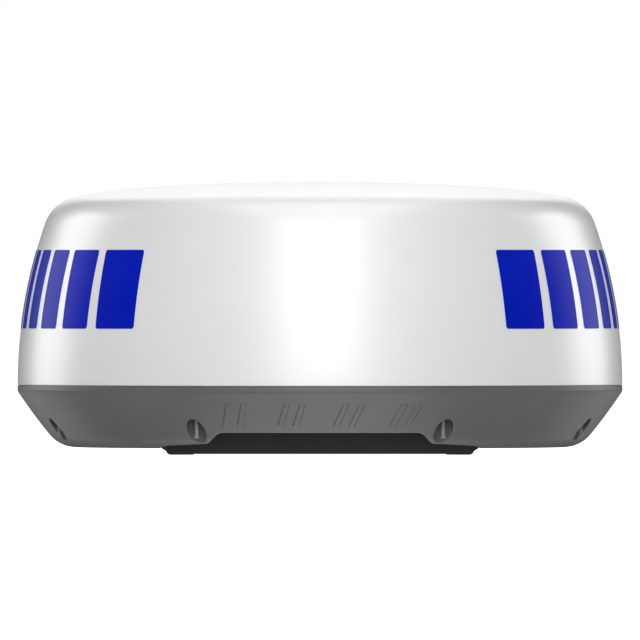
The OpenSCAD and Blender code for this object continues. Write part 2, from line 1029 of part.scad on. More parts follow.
module gear_screws() {
    color("silver") {
        at_each(gear_bolts())
            translate([0, 0, gear_z + 3])
                mirror([0, 0, 1])
                    screw(1.45, 9, 2.75, 2.5);
        for (a = [0:120:240])
            rotate(a)
                translate([22, 0, turntable_z - 4])
                    mirror([0, 0, 1])
                        screw(1.45, 8, 2.75, 2.5);
    }
}

module index_magnet() {
    color("silver")
        translate([0, 45, 0])
            rod(2.95, gear_z - 0.6, 3.5);
}

// Angle bracket that stands the panel antenna on the turntable
module antenna_bracket() {
    z = turntable_z + turntable_t;
    color("lightgray")
        difference() {
            union() {
                block([-50, -20, z], [50, 22, z + 3]);
                block([-50, array_back_y, z], [50, array_back_y + 3, z + 84]);
                for (x = [-48.5, 48.5])
                    translate([x, array_back_y + 2, z + 2])
                        rotate([90, 0, 90])
                            linear_extrude(2.5, center = true)
                                polygon([[0, 0], [9.9, 0], [9.9, 4], [2, 70], [0, 70]]);
            }
            rod(4.5, 80, 20);
            at_each(bracket_bolts()) rod(2, 80, 20);
            block([-8, array_back_y - 1, z + 3], [8, array_back_y + 4, z + 16]);
            for (x = [-28, 28])
                translate([x, 0, z + 50])
                    rotate([90, 0, 0])
                        translate([0, 0, -array_back_y - 9])
                            rod(12, 0, 20);
            at_bracket_holes()
                rod(1.7, -6, 12);
            translate([0, 20, 142])
                rotate([90, 0, 0])
                    rod(4.5, 0, 14);
        }
}

module at_bracket_holes() {
    for (x = [-42, 42], z = [115, 165])
        translate([x, array_back_y + 3, z])
            rotate([-90, 0, 0])
                children();
}

module antenna_screws() {
    color("silver") {
        at_bracket_holes() screw(1.45, 5.5, 2.75, 2.4);
        at_each(bracket_bolts())
            translate([0, 0, turntable_z + turntable_t + 3])
                screw(1.75, 6, 3.4, 2.2);
    }
}

// Aluminium tray behind the antenna's board
module antenna_frame() {
    x = array_l / 2;
    top = array_z + array_h;
    color("silver")
        difference() {
            block([-x, board_face_y + 2, array_z], [x, array_back_y, top]);
            block([-x + 2, board_face_y, array_z + 2], [x - 2, array_back_y - 2.5, top - 2]);
            at_bracket_holes()
                rod(1.5, -7, 12);
            translate([0, 20, 142])
                rotate([90, 0, 0])
                    rod(4.5, 0, 20);
        }
}

module array_board() {
    x = array_l / 2;
    pitch_x = (array_l - 14) / patch_columns;
    pitch_z = (array_h - 8) / patch_rows;
    patch = 14;
    color("darkgreen")
        block([-x, board_face_y, array_z], [x, board_face_y + 2, array_z + array_h]);
    color("peru")
        for (i = [0:patch_columns - 1], k = [0:patch_rows - 1])
            translate([(i - (patch_columns - 1) / 2) * pitch_x, board_face_y,
                array_z + array_h / 2 + (k - (patch_rows - 1) / 2) * pitch_z])
                translate([-patch / 2, -0.5, -patch / 2])
                    cube([patch, 1, patch]);
    color("gold")
        translate([0, 9.5, 142])
            rotate([90, 0, 0])
                rod(3.5, 0, 9.5 - board_face_y - 1);
}

// Coaxial lead from the rotary joint, up through the spindle and round to the array
module feed_coax() {
    color("#8a6d3b")
        cable(feed_route, 1.5);
}

// Thin front cover over the radiating patches
module array_cover() {
    x = array_l / 2;
    top = array_z + array_h;
    front_y = -14;
    color("whitesmoke")
        difference() {
            block([-x, front_y, array_z], [x, board_face_y, top]);
            block([-x + 2.5, front_y + 2, array_z + 2.5], [x - 2.5, board_face_y + 1, top - 2.5]);
        }
}

// Pinion with a tooth gap that faces the drive gear
module motor_pinion() {
    color("goldenrod")
        translate([0, motor_y, 0])
            difference() {
                union() {
                    translate([0, 0, gear_z - 0.75])
                        rotate(90 + 180 / pinion_teeth)
                            linear_extrude(gear_w + 1.5)
                                polygon(gear_outline(pinion_teeth));
                    rod(7.5, gear_z - 6, 5.3);
                }
                rod(shaft_r, gear_z - 10, 30);
                translate([0, 0, gear_z - 3.5])
                    rotate([90, 0, 0])
                        rod(1.5, 0, 10);
            }
}

module motor_shaft() {
    color("silver")
        translate([0, motor_y, 0]) {
            rod(shaft_r - snug, shield_z - 22, 42);
            translate([0, 0, gear_z - 3.5])
                rotate([90, 0, 0])
                    rod(1.45, 2.6, 4.6);
        }
}

radome_cover();
side_graphics();
cover_inserts();
rim_gasket();
base_casting();
cover_screws();
cover_screw_washers();
mounting_plinth();
plinth_screws();
mounting_pads();
mounting_inserts();
cable_cover();
cable_cover_screws();
power_socket();
network_socket();
socket_gaskets();
socket_nuts();
socket_pins();
breather_vent();
internal_harness();
shield_standoffs();
shield_plate();
shield_screws();
bearing_pedestal();
pedestal_screws();
bearing_outer_races();
motor_body();
motor_screws();
zero_sensor();
main_board();
main_board_chips();
processor_heatsink();
board_sockets();
power_board();
power_capacitors();
power_inductors();
board_screws();
rf_module();
rf_module_lid();
coax_jumper();
rotary_joint_stator();
spindle();
bearing_inner_races();
bearing_spacer();
spindle_circlip();
rotary_joint_rotor();
turntable();
drive_gear();
gear_screws();
index_magnet();
antenna_bracket();
antenna_screws();
antenna_frame();
array_board();
array_cover();
feed_coax();
motor_pinion();
motor_shaft();
lower_bearing_cage();
upper_bearing_cage();
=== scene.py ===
"""Looks of the radar dome antenna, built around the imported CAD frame.

Blender objects are in metres in the CAD frame: +Z up, the front towards -Y, z = 0 under the pads.
Sections and plan views are worked out in millimetres and scaled when a mesh is made.
"""

import json
import math

import bmesh
import bpy
import numpy as np
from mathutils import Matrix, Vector
from mathutils.geometry import delaunay_2d_cdt


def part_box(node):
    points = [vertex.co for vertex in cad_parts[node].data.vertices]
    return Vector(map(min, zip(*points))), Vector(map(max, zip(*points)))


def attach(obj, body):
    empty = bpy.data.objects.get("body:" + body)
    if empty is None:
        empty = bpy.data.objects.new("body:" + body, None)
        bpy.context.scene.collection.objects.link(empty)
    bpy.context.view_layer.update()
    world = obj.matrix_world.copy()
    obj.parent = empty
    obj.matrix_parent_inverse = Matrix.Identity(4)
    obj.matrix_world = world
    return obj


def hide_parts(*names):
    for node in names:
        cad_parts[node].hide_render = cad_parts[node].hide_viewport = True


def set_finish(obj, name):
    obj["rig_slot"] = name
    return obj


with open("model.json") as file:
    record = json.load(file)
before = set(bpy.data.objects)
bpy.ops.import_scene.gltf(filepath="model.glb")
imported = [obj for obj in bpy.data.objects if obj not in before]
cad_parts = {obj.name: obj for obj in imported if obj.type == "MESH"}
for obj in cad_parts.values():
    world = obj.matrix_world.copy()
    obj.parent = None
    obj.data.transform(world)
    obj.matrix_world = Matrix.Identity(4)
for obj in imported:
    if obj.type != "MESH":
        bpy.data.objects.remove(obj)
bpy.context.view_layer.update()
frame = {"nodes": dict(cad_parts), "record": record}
MM = 0.001


def ring_places(r, angles):
    """Points on a circle of radius r about the origin, at angles in degrees from +X."""
    return [(r * math.cos(math.radians(a)), r * math.sin(math.radians(a))) for a in angles]


# ---------------- sizes, in millimetres

DOME_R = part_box("base_casting")[1].x / MM
DOME_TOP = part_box("radome_cover")[1].z / MM
SEAM_GAP = 0.3
LIP_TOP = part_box("base_casting")[1].z / MM
SEAM = LIP_TOP + SEAM_GAP
BASE_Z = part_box("base_casting")[0].z / MM
DOME_WALL = 4.0
BASE_WALL = 3.5
SHOULDER_R = 33.4
HAUNCH_R = 402.0
CROWN_A, HAUNCH_A, SHOULDER_A = 3.8, 12.06, 70.5
BASE_SLOPE = 36.4
BASE_CORNER_R = 29.0
LIP_H, LIP_R = 5.6, 5.0
SIDE_BULGE = 0.8
LEDGE_Z, TONGUE_Z = 52.0, 54.0

# channel through the underside
WIDE_X, WIDE_EDGE_Z, WIDE_Z = 134.0, 7.8, 9.9
NARROW_X, NARROW_Z, NARROW_RISE = 93.5, 19.2, 46.0
NARROW_TOP_X = 84.5
WALL_STEEPNESS = 5   # rise over run of the outer walls
WALL_BLEND, STEP_BLEND, CEILING_BLEND, SIDE_BLEND = 0.6, 0.8, 1.8, 1.2

# screw pockets
POCKET_R = 8.25
POCKET_RING = 230.0
POCKET_SHIFT = 0.5
POCKET_TOP = 34.0
WASHER_T = 1.6
BOSS_R, BOSS_TOP = 12.35, POCKET_TOP + 4.5
SCREW_ANGLES = [s for a in (26.55, 72.1) for s in (-90 - a, -90 + a, 90 - a, 90 + a)]
SCREW_AT = ring_places(POCKET_RING, SCREW_ANGLES)
POCKET_AT = [np.array(p) for p in ring_places(POCKET_RING + POCKET_SHIFT, SCREW_ANGLES)]

# inside and underside features
MOUNT_AT = [(x * 116.5, y * 70.75) for x in (-1, 1) for y in (-1, 1)]
PAD_R = 10.5
PLINTH_SCREW_AT = [(-70, -84), (70, -84), (-74, 84), (74, 84)]
POST_AT = [(x, y) for x in (-56, 56) for y in (75, 119)]
VENT_AT = [(-112, 150)]
WELL_X, WELL_Y, WELL_Z = 46.0, (68.0, 125.0), 50.0
SOCKET_X, SOCKET_Z = 22.0, 35.5
STANDOFF_RING, SEAT_SCREW_RING = 205, 39
STANDOFF_AT = ring_places(STANDOFF_RING, (20, 90, 160, 200, 270, 340))
SEAT_R, SEAT_Z = (36.0, 46.0), 32.0   # the raised ring under the bearing pedestal
SEAT_SCREW_AT = ring_places(SEAT_SCREW_RING, (45, 135, 225, 315))
BOARD_POST_AT = [(-176, 82), (-176, -82), (-66, 60), (-66, -60), (64, 14), (64, 58), (176, 14),
                 (176, 58), (66, -12), (66, -62), (168, -12), (168, -62)]

# vinyl bars, as (angle from the front, width), and the raised marks on the front
GRAPHIC_H, GRAPHIC_Z = 66.0, SEAM + 80.5
GRAPHIC_BARS = [(43.1, 44), (54.8, 36), (64.8, 30), (73.4, 24), (80.7, 19), (87, 15), (92.5, 12),
                (97.3, 9), (101.5, 7)]
MARK_ANGLES = (-17.2, -5.7, 5.7, 17.2)
MARK_Z, MARK_RELIEF, MARK_SIDE_RUN = 34.5, 1.0, 1.3
MARK_HALF_W, MARK_HALF_H, MARK_LEAN = 3, 10, 8 / 20
MARK_SPACING = 13.0

STEP = 0.03   # half the run, in plan, of a wall that stands straight up


# ---------------- sections

def arc(centre, r, a0, a1, n):
    """n + 1 points on an arc, from a0 to a1 degrees measured from +Z towards +X."""
    a = np.radians(np.linspace(a0, a1, n + 1))
    return np.column_stack([centre[0] + r * np.sin(a), centre[1] + r * np.cos(a)])


def sin_cos(a):
    """Unit vector in the section plane, a degrees from +Z towards +X."""
    return np.array([math.sin(math.radians(a)), math.cos(math.radians(a))])


def dome_arcs():
    """Centres and radii of the radome's four tangent arcs, from the crown down."""
    s, c = np.array([sin_cos(a) for a in (CROWN_A, HAUNCH_A, SHOULDER_A)]).T
    reach = DOME_R - HAUNCH_R * (s[1] - s[0]) - SHOULDER_R * (s[2] - s[1])
    drop = DOME_TOP - SEAM - HAUNCH_R * (c[0] - c[1]) - SHOULDER_R * (c[1] - c[2])
    crown_r, flank_r = np.linalg.solve([[s[0], 1 - s[2]], [1 - c[0], c[2]]], [reach, drop])
    radii = [crown_r, HAUNCH_R, SHOULDER_R, flank_r]
    centres = [np.array([0.0, DOME_TOP - crown_r])]
    for k, a in enumerate((CROWN_A, HAUNCH_A, SHOULDER_A)):
        centres.append(centres[-1] + (radii[k] - radii[k + 1]) * sin_cos(a))
    return centres, radii


def dome_curve(g):
    """Radome section from the apex to the seam, g outside the nominal surface."""
    centres, radii = dome_arcs()
    spans = [(0, CROWN_A, 16), (CROWN_A, HAUNCH_A, 14), (HAUNCH_A, SHOULDER_A, 26), (SHOULDER_A, 90, 26)]
    rows = [arc(c, r + g, *span)[(0 if k == 0 else 1):]
            for k, (c, r, span) in enumerate(zip(centres, radii, spans))]
    return np.vstack(rows)


def flank_radius(z, g=0.0):
    """Radius of the radome's flank at height z."""
    centres, radii = dome_arcs()
    c, r = centres[3], radii[3] + g
    return c[0] + np.sqrt(r * r - (z - c[1]) ** 2)


TAN_SLOPE = math.tan(math.radians(BASE_SLOPE))
COS_SLOPE = math.cos(math.radians(BASE_SLOPE))
CORNER_C = np.array([
    DOME_R - (SEAM - LIP_H - BASE_Z - BASE_CORNER_R) * TAN_SLOPE - BASE_CORNER_R / COS_SLOPE,
    BASE_Z + BASE_CORNER_R])
LIP_C = np.array([DOME_R - LIP_R, SEAM - LIP_H + LIP_R * math.tan(math.radians(BASE_SLOPE / 2))])


def cone_height(r, g=0.0):
    """Height of the straight cone that the base's side follows."""
    return SEAM - LIP_H - (DOME_R + g / COS_SLOPE - r) / TAN_SLOPE


def base_height(r, g=0.0):
    """Height of the base's side and underside at radius r, g outside the nominal surface."""
    corner = CORNER_C[1] - np.sqrt(np.maximum((BASE_CORNER_R + g) ** 2 - (r - CORNER_C[0]) ** 2, 0))
    tangent = CORNER_C[0] + (BASE_CORNER_R + g) * COS_SLOPE
    along = np.clip((r - tangent) / (LIP_C[0] + LIP_R * COS_SLOPE - tangent), 0, 1)
    cone = cone_height(r, g) - 4 * SIDE_BULGE * along * (1 - along)
    return np.where(r <= CORNER_C[0], BASE_Z - g, np.where(r <= tangent, corner, cone))


def smooth_max(a, b, k):
    """The larger of a and b, blended where they differ by less than k."""
    h = np.maximum(k - np.abs(a - b), 0) / k
    return np.maximum(a, b) + h * h * k / 4


def smooth_min(a, b, k):
    """The smaller of a and b, blended where they differ by less than k."""
    return -smooth_max(-a, -b, k)


def channel_height(x, g=0.0):
    """Ceiling of the channel across the underside, g inside the casting."""
    u = np.abs(x)
    wall = BASE_Z + (WIDE_X + g - u) * WALL_STEEPNESS
    ceiling = WIDE_Z - (u - NARROW_X) * (WIDE_Z - WIDE_EDGE_Z) / (WIDE_X - NARROW_X)
    inner = WIDE_Z + (NARROW_X - u) * math.tan(math.radians(NARROW_RISE))
    low = smooth_min(wall, ceiling, WALL_BLEND)
    high = smooth_min(inner, NARROW_Z, CEILING_BLEND)
    return smooth_max(low, high, STEP_BLEND) + g


# ---------------- mesh helpers

def new_object(name, data):
    """An object with the given data, linked to the scene."""
    obj = bpy.data.objects.new(name, data)
    bpy.context.scene.collection.objects.link(obj)
    return obj


def mesh_object(name, verts, faces, body="housing", sharp=32.0):
    """A smooth-shaded object from points in millimetres, whose edges over sharp degrees stay hard."""
    mesh = bpy.data.meshes.new(name)
    mesh.from_pydata([tuple(float(c) * MM for c in v) for v in verts], [], faces)
    mesh.validate()
    mesh.update()
    mesh.shade_smooth()
    if sharp:
        mesh.set_sharp_from_angle(angle=math.radians(sharp))
    obj = new_object(name, mesh)
    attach(obj, body)
    return obj


def weighted_normals(obj):
    """Shades large faces flat up to the edge of a rounding."""
    mod = obj.modifiers.new("weighted_normals", "WEIGHTED_NORMAL")
    mod.keep_sharp = True
    mod.weight = 80
    return obj


SCREW_SEGMENTS = 48


def round_ring(r, z, n=SCREW_SEGMENTS):
    """n points on a circle about the Z axis, or a single pole on the axis."""
    if r < 1e-6:
        return [(0.0, 0.0, z)]
    return [(r * math.cos(a), r * math.sin(a), z) for a in np.arange(n) * 2 * math.pi / n]


def loft(rings, closed=False):
    """Vertices and faces that join rings of equal count; a ring of one point is a pole."""
    n = max(len(ring) for ring in rings)
    verts, index, faces = [], [], []
    for ring in rings:
        start = len(verts)
        verts += ring
        index.append([start] * n if len(ring) == 1 else list(range(start, start + n)))
    for a, b in zip(index, index[1:] + (index[:1] if closed else [])):
        for k in range(n):
            m = (k + 1) % n
            loop = [a[k], a[m], b[m], b[k]]
            face = [v for i, v in enumerate(loop) if v not in loop[:i]]
            if len(face) > 2:
                faces.append(face)
    return verts, faces


def turned(section, segments, at=(0, 0, 0), closed=True):
    """A lathed part from (r, z) points, its axis upright through at."""
    verts, faces = loft([round_ring(r, z, segments) for r, z in section], closed)
    return [(x + at[0], y + at[1], z + at[2]) for x, y, z in verts], faces


def merged(parts):
    """Vertices and faces of several parts as one part."""
    verts, faces = [], []
    for part_verts, part_faces in parts:
        start = len(verts)
        verts += [tuple(v) for v in part_verts]
        faces += [[i + start for i in f] for f in part_faces]
    return verts, faces


def circle(centre, r, n):
    """n plan-view points on a circle."""
    a = np.arange(n) * 2 * math.pi / n
    return np.column_stack([centre[0] + r * np.cos(a), centre[1] + r * np.sin(a)])


def height_skin(points, edge_ring):
    """Triangles of a plan view. points is an (n, 2) array; edge_ring has to be its outermost ring."""
    keys, index = {}, []
    for p in np.round(np.vstack([edge_ring, points]), 4):
        key = (float(p[0]), float(p[1]))
        if key not in keys:
            keys[key] = len(keys)
            index.append(key)
    found = delaunay_2d_cdt([Vector(p) for p in index], [], [], 0, 1e-6)
    return np.array([tuple(v) for v in found[0]]), [list(f) for f in found[2]]


def distance(points, centre):
    """Plan-view distance of each point from a centre."""
    return np.hypot(points[:, 0] - centre[0], points[:, 1] - centre[1])


def far_from(points, centre, r):
    """Which points lie more than r from a centre."""
    return distance(points, centre) > r


# ---------------- raised marks on the base's front

def bar_core(x, rounding):
    """A slanted bar's corners, drawn in by the rounding radius, in the plane that faces it."""
    w = MARK_HALF_W - rounding * math.hypot(1, MARK_LEAN)
    h = MARK_HALF_H - rounding
    return np.array([[x + side * w + MARK_LEAN * v, v] for side, v in ((-1, -h), (1, -h), (1, h), (-1, h))])


def polygon_distance(p, poly):
    """Signed distance from points to a convex polygon that runs counter-clockwise."""
    best = np.full(len(p), 1e9)
    inside = np.ones(len(p), bool)
    for a, b in zip(poly, np.roll(poly, -1, axis=0)):
        e = b - a
        t = np.clip(((p - a) @ e) / (e @ e), 0, 1)
        best = np.minimum(best, np.linalg.norm(p - a - t[:, None] * e, axis=1))
        inside &= (e[0] * (p[:, 1] - a[1]) - e[1] * (p[:, 0] - a[0])) >= 0
    return np.where(inside, -best, best)


BAR_ROUNDING = 1.6
BAR_CORES = [bar_core(x, BAR_ROUNDING) for x in (-MARK_SPACING / 2, MARK_SPACING / 2)]


def mark_frame(a):
    """Outward and sideways unit vectors of a mark that faces the direction a from the front."""
    out = np.array([math.sin(math.radians(a)), -math.cos(math.radians(a))])
    return out, np.array([-out[1], out[0]])


def mark_depth(points):
    """Distance inside the nearest raised bar, for points on the base's side."""
    r = np.hypot(points[:, 0], points[:, 1])
    v = cone_height(r) - MARK_Z
    depth = np.full(len(points), -1e3)
    for a in MARK_ANGLES:
        out, side = mark_frame(a)
        ahead = points @ out > 0
        u = points @ side
        for core in BAR_CORES:
            d = BAR_ROUNDING - polygon_distance(np.column_stack([u, v]), core)
            depth = np.where(ahead, np.maximum(depth, d), depth)
    return depth


def mark_points():
    """Plan-view points on rings round each raised bar, at and beside its sloping side."""
    rings = []
    for level in (-1.3, -0.6, -0.2, 0.0, 0.15, 0.35, 0.55, 0.75, 0.95, 1.15, 1.35, 1.55):
        for core in BAR_CORES:
            outline = []
            for k in range(4):
                a, b, c = core[k - 1], core[k], core[(k + 1) % 4]
                n0 = math.atan2(-(b - a)[0], (b - a)[1])
                n1 = math.atan2(-(c - b)[0], (c - b)[1])
                n1 += 2 * math.pi * (n1 < n0)
                for t in np.linspace(n0, n1, 5):
                    outline.append(b + (BAR_ROUNDING - level) * np.array([math.cos(t), math.sin(t)]))
            dense = []
            for p, q in zip(outline, outline[1:] + outline[:1]):
                count = max(1, int(np.linalg.norm(q - p) / 1.3))
                dense += [p + (q - p) * i / count for i in range(count)]
            for a in MARK_ANGLES:
                out, side = mark_frame(a)
                for u, v in dense:
                    r = DOME_R - (SEAM - LIP_H - MARK_Z - v) * TAN_SLOPE
                    rings.append(side * u + out * math.sqrt(r * r - u * u))
    return np.array(rings)


# ---------------- the base casting

RIM_SEGMENTS = 360
SKIN_R = 250.0
INNER_SKIN_R = 240.0
POCKET_ROUND = (0.25, 1.3)   # at the mouth's outer and inner edge
POCKET_FLOOR_ROUND = 1.4


def open_height(p):
    """Height of the underside without its pockets and holes."""
    r = np.hypot(p[:, 0], p[:, 1])
    return smooth_max(base_height(r), channel_height(p[:, 0]), SIDE_BLEND)


def pocket_rim(centre, angle):
    """Rounding radius, height of its upper end and outer radius, round a pocket's mouth."""
    d = np.column_stack([np.cos(angle), np.sin(angle)])
    z0 = open_height(centre + d * POCKET_R)
    m = (open_height(centre + d * (POCKET_R + 0.8)) - z0) / 0.8
    hyp = np.sqrt(1 + m * m)
    top = POCKET_TOP - POCKET_FLOOR_ROUND - 0.1
    inward = (1 - d @ (centre / np.hypot(*centre))) / 2
    wanted = POCKET_ROUND[0] + (POCKET_ROUND[1] - POCKET_ROUND[0]) * inward
    f = np.clip((top - z0) / (m + hyp), 0.12, wanted)
    return f, z0 + m * f + f * hyp, POCKET_R + f + f * m / hyp


# places, radius and height of the round bosses and holes in the underside
UNDERSIDE_HOLES = [(VENT_AT, 10.0, 8.4), (VENT_AT, 5.0, 12.9), (POST_AT, 4.5, 9.2), (POST_AT, 1.6, 17.5),
                   (MOUNT_AT, 7.0, 24.2), (PLINTH_SCREW_AT, 2.0, 28.0)]


def pocket_height(centre, p, open_z):
    """Heights near one pocket: its rounded mouth, its wall and its ceiling."""
    rho = distance(p, centre)
    f, zc, reach = pocket_rim(centre, np.arctan2(p[:, 1] - centre[1], p[:, 0] - centre[0]))
    mouth = zc - np.sqrt(np.maximum(f * f - (POCKET_R + f - rho) ** 2, 0))
    run = np.clip((POCKET_R - rho) / (2 * STEP), 0, 1)
    wall_top = POCKET_TOP - POCKET_FLOOR_ROUND
    wall = zc + (wall_top - zc) * run
    s = np.clip((rho - (POCKET_R - 2 * STEP - POCKET_FLOOR_ROUND)) / POCKET_FLOOR_ROUND, 0, 1)
    ceiling = wall_top + POCKET_FLOOR_ROUND * np.sqrt(1 - s * s)
    z = np.where(rho >= reach, open_z, np.where(rho >= POCKET_R, mouth, wall))
    return np.where(rho < POCKET_R - 2 * STEP, ceiling, z)


def underside_height(p):
    """Height of the base seen from below, with pockets, well, posts and holes."""
    z = open_height(p)
    for c in POCKET_AT:
        near = distance(p, c) < POCKET_R + 6
        if near.any():
            z[near] = pocket_height(c, p[near], z[near])
    in_well = (np.abs(p[:, 0]) < WELL_X) & (p[:, 1] > WELL_Y[0]) & (p[:, 1] < WELL_Y[1])
    z = np.where(in_well, WELL_Z, z)
    for places, r, height in UNDERSIDE_HOLES:
        for c in places:
            z = np.where(far_from(p, c, r), z, height)
    return z


# edges of the channel across the underside, each with the rows of points beside it
CHANNEL_ROWS = [(WIDE_X, (3, 1.6, 0.9, 0.5, 0.25, 0.1, 0, -0.15, -0.3, -0.45, -0.7, -1.1, -2.2, -6, -14)),
                (NARROW_X, (16.5, 6.5, 2.5, 1.3, 0.6, 0.1, -0.3, -0.7, -1.3, -2.3)),
                (NARROW_TOP_X, (3.5, 2.1, 1.1, 0.5, 0.1, -0.3, -0.9, -1.9, -3.5, -6.5))]


def channel_row_points():
    """Rows of points that run along the channel's edges."""
    rows = []
    for u in [x + d for x, offsets in CHANNEL_ROWS for d in offsets]:
        for y in np.arange(96, 236, 3.0):
            rows += [(sx * u, sy * y) for sx in (-1, 1) for sy in (-1, 1)]
        rows += [(sx * u, y) for sx in (-1, 1) for y in np.arange(-93, 94, 6.0)]
    rows = np.array(rows)
    return rows[np.hypot(rows[:, 0], rows[:, 1]) < 226]


def crease_points():
    """Points across the line where the channel's ceiling meets the base's side."""
    crease = []
    radii = np.linspace(190, 240, 2001)
    ends = np.array([131.6, 132.6, 133.3, 133.7])
    for x in np.concatenate([-ends, np.arange(-130, 130.1, 2.5), ends]):
        cut = radii[np.argmin(np.abs(base_height(radii) - channel_height(np.array([x]))[0]))]
        y = math.sqrt(cut * cut - x * x)
        for off in (-3, -2.2, -1.5, -1, -0.5, 0, 0.5, 1, 1.5, 2.2, 3):
            k = (cut + off) / cut
            crease += [(x * k, -y * k), (x * k, y * k)]
    return np.array(crease)


def pocket_rings(c):
    """Rings of points on a pocket's mouth, wall and ceiling."""
    angle = np.arange(72) * 2 * math.pi / 72
    _, _, reach = pocket_rim(c, angle)
    d = np.column_stack([np.cos(angle), np.sin(angle)])
    rings = [c + d * (POCKET_R + (reach - POCKET_R) * w)[:, None]
             for w in (0, 0.03, 0.11, 0.25, 0.42, 0.62, 0.82, 1.0)]
    rings += [c + d * (reach + extra)[:, None] for extra in (0.5, 1.3, 2.6)]
    rings += [c + d * (POCKET_R - 2 * STEP * w) for w in (0.25, 0.5, 0.75, 1.0)]
    rings += [c + d * (POCKET_R - 2 * STEP - POCKET_FLOOR_ROUND * w) for w in (0.1, 0.25, 0.45, 0.7, 1.0)]
    return rings + [circle(c, 5, 24), c[None, :]]


def well_outline(grow, nx, ny):
    """Points on a rectangle that stands grow outside the well's walls."""
    xs = np.linspace(-WELL_X - grow, WELL_X + grow, nx)
    ys = np.linspace(WELL_Y[0] - grow, WELL_Y[1] + grow, ny)
    return np.array([(x, y) for x in xs for y in (ys[0], ys[-1])]
                    + [(x, y) for x in (xs[0], xs[-1]) for y in ys])


def underside_points():
    """Plan-view points of the outer skin, dense where it bends."""
    grid = [np.zeros((1, 2))]
    for r in np.concatenate([np.arange(12, 192, 12), np.arange(192, 206, 3),
                             np.arange(206, SKIN_R, 1.6)]):
        n = int(min(RIM_SEGMENTS, max(24, 2 * math.pi * r / (9 if r < 192 else 4.4))))
        grid.append(circle((0, 0), r, n))
    grid = np.vstack(grid)
    grid = grid[np.abs(np.abs(grid[:, 0]) - WIDE_X) > 3.5]
    loose = np.vstack([grid, channel_row_points()])
    loose = loose[mark_depth(loose) < -1.7]
    r = np.hypot(loose[:, 0], loose[:, 1])
    gap = np.abs(base_height(r) - channel_height(loose[:, 0]))
    loose = loose[~((gap < 2.6) & (r > 204) & (np.abs(loose[:, 0]) < WIDE_X))]
    points = np.vstack([loose, crease_points()])

    rings = [mark_points()]
    for c in POCKET_AT:
        rings += pocket_rings(c)
        points = points[far_from(points, c, POCKET_R + 4.2)]
    for places, radius, _ in UNDERSIDE_HOLES:
        for c in places:
            points = points[far_from(points, c, radius + 1.2)]
            rings += [circle(c, radius + k, 40) for k in (-STEP, STEP)]
    rings += [well_outline(s, 24, 16) for s in (-STEP, STEP)]
    return np.vstack([points] + rings)


# places, radius and height of the round bosses on the floor inside, then of the holes in them
INSIDE_BOSSES = [(SCREW_AT, BOSS_R, BOSS_TOP), (MOUNT_AT, 12.0, 27.9), (PLINTH_SCREW_AT, 5.0, 30.0),
                 (VENT_AT, 10.0, 13.0), (STANDOFF_AT, 6.0, 26.0), (BOARD_POST_AT, 4.0, 30.0)]
INSIDE_HOLES = [(STANDOFF_AT, 2.0, 21.0), (BOARD_POST_AT, 1.5, 23.0), (SEAT_SCREW_AT, 2.0, 22.5)]
INSIDE_ROWS = (139, 137.8, 137.2, 136.5, 135, 115, 98, 96, 94, 90, 86, 84, 82, 80)   # beside the channel


def inside_height(p):
    """Floor of the casting seen from above, with its bosses and their screw holes."""
    r = np.hypot(p[:, 0], p[:, 1])
    z = np.maximum(base_height(r, -BASE_WALL), channel_height(p[:, 0], BASE_WALL))
    jumper_gap = (p[:, 0] > 30) & (p[:, 1] > -16) & (p[:, 1] < 4)
    seat = (r > SEAT_R[0]) & (r < SEAT_R[1]) & ~jumper_gap
    z = np.where(seat, SEAT_Z, z)
    block = (np.abs(p[:, 0]) < WELL_X + BASE_WALL) & (p[:, 1] > WELL_Y[0] - BASE_WALL) \
        & (p[:, 1] < WELL_Y[1] + BASE_WALL)
    z = np.where(block, WELL_Z + BASE_WALL, z)
    for places, radius, height in INSIDE_BOSSES:
        for c in places:
            z = np.where(far_from(p, c, radius), z, np.maximum(z, height))
    for places, radius, height in INSIDE_HOLES:
        for c in places:
            z = np.where(far_from(p, c, radius), z, height)
    return z


def inside_points():
    """Plan-view points of the inner skin."""
    grid = [np.zeros((1, 2))]
    for r in np.concatenate([np.arange(10, 200, 10), np.arange(200, INNER_SKIN_R, 3)]):
        grid.append(circle((0, 0), r, int(min(RIM_SEGMENTS, max(24, 2 * math.pi * r / 8)))))
    points = np.vstack(grid)
    rings = []
    for places, radius, _ in INSIDE_BOSSES + INSIDE_HOLES + [([(0, 0)], edge, SEAT_Z) for edge in SEAT_R]:
        for c in places:
            points = points[~(np.abs(distance(points, c) - radius) < 1.5)]
            n = 64 if radius > 10 else 32
            rings += [circle(c, radius + k, n) for k in (-STEP, STEP)]
    rings += [well_outline(BASE_WALL + s, 20, 14) for s in (-STEP, STEP)]
    for u in INSIDE_ROWS:
        rings.append(np.array([(s * u, y) for s in (-1, 1) for y in np.arange(-200, 201, 10.0)
                               if math.hypot(u, y) < 228]))
    rings = np.vstack(rings)
    return np.vstack([points, rings[np.hypot(rings[:, 0], rings[:, 1]) < INNER_SKIN_R - 0.5]])


def base_rim_section():
    """From the outer skin's edge up over the lip, across the ledge and down to the inner skin's edge."""
    edge_z = float(base_height(np.array([SKIN_R]))[0])
    inner_z = float(base_height(np.array([INNER_SKIN_R]), -BASE_WALL)[0])
    lip_edge = 0.5
    cone = [(SKIN_R, edge_z)]
    lip = arc(LIP_C, LIP_R, 90 + BASE_SLOPE, 90, 8)
    outer_edge = arc((DOME_R - lip_edge, LIP_TOP - lip_edge), lip_edge, 90, 0, 4)
    inner_edge = arc((DOME_R - BASE_WALL + 0.3, LIP_TOP - 0.3), 0.3, 0, -90, 3)
    ledge = [(DOME_R - BASE_WALL, LEDGE_Z), (DOME_R - 11, LEDGE_Z), (DOME_R - 12, 42.0)]
    return cone + [tuple(p) for part in (lip, outer_edge, inner_edge) for p in part] + ledge \
        + [(INNER_SKIN_R, inner_z)]


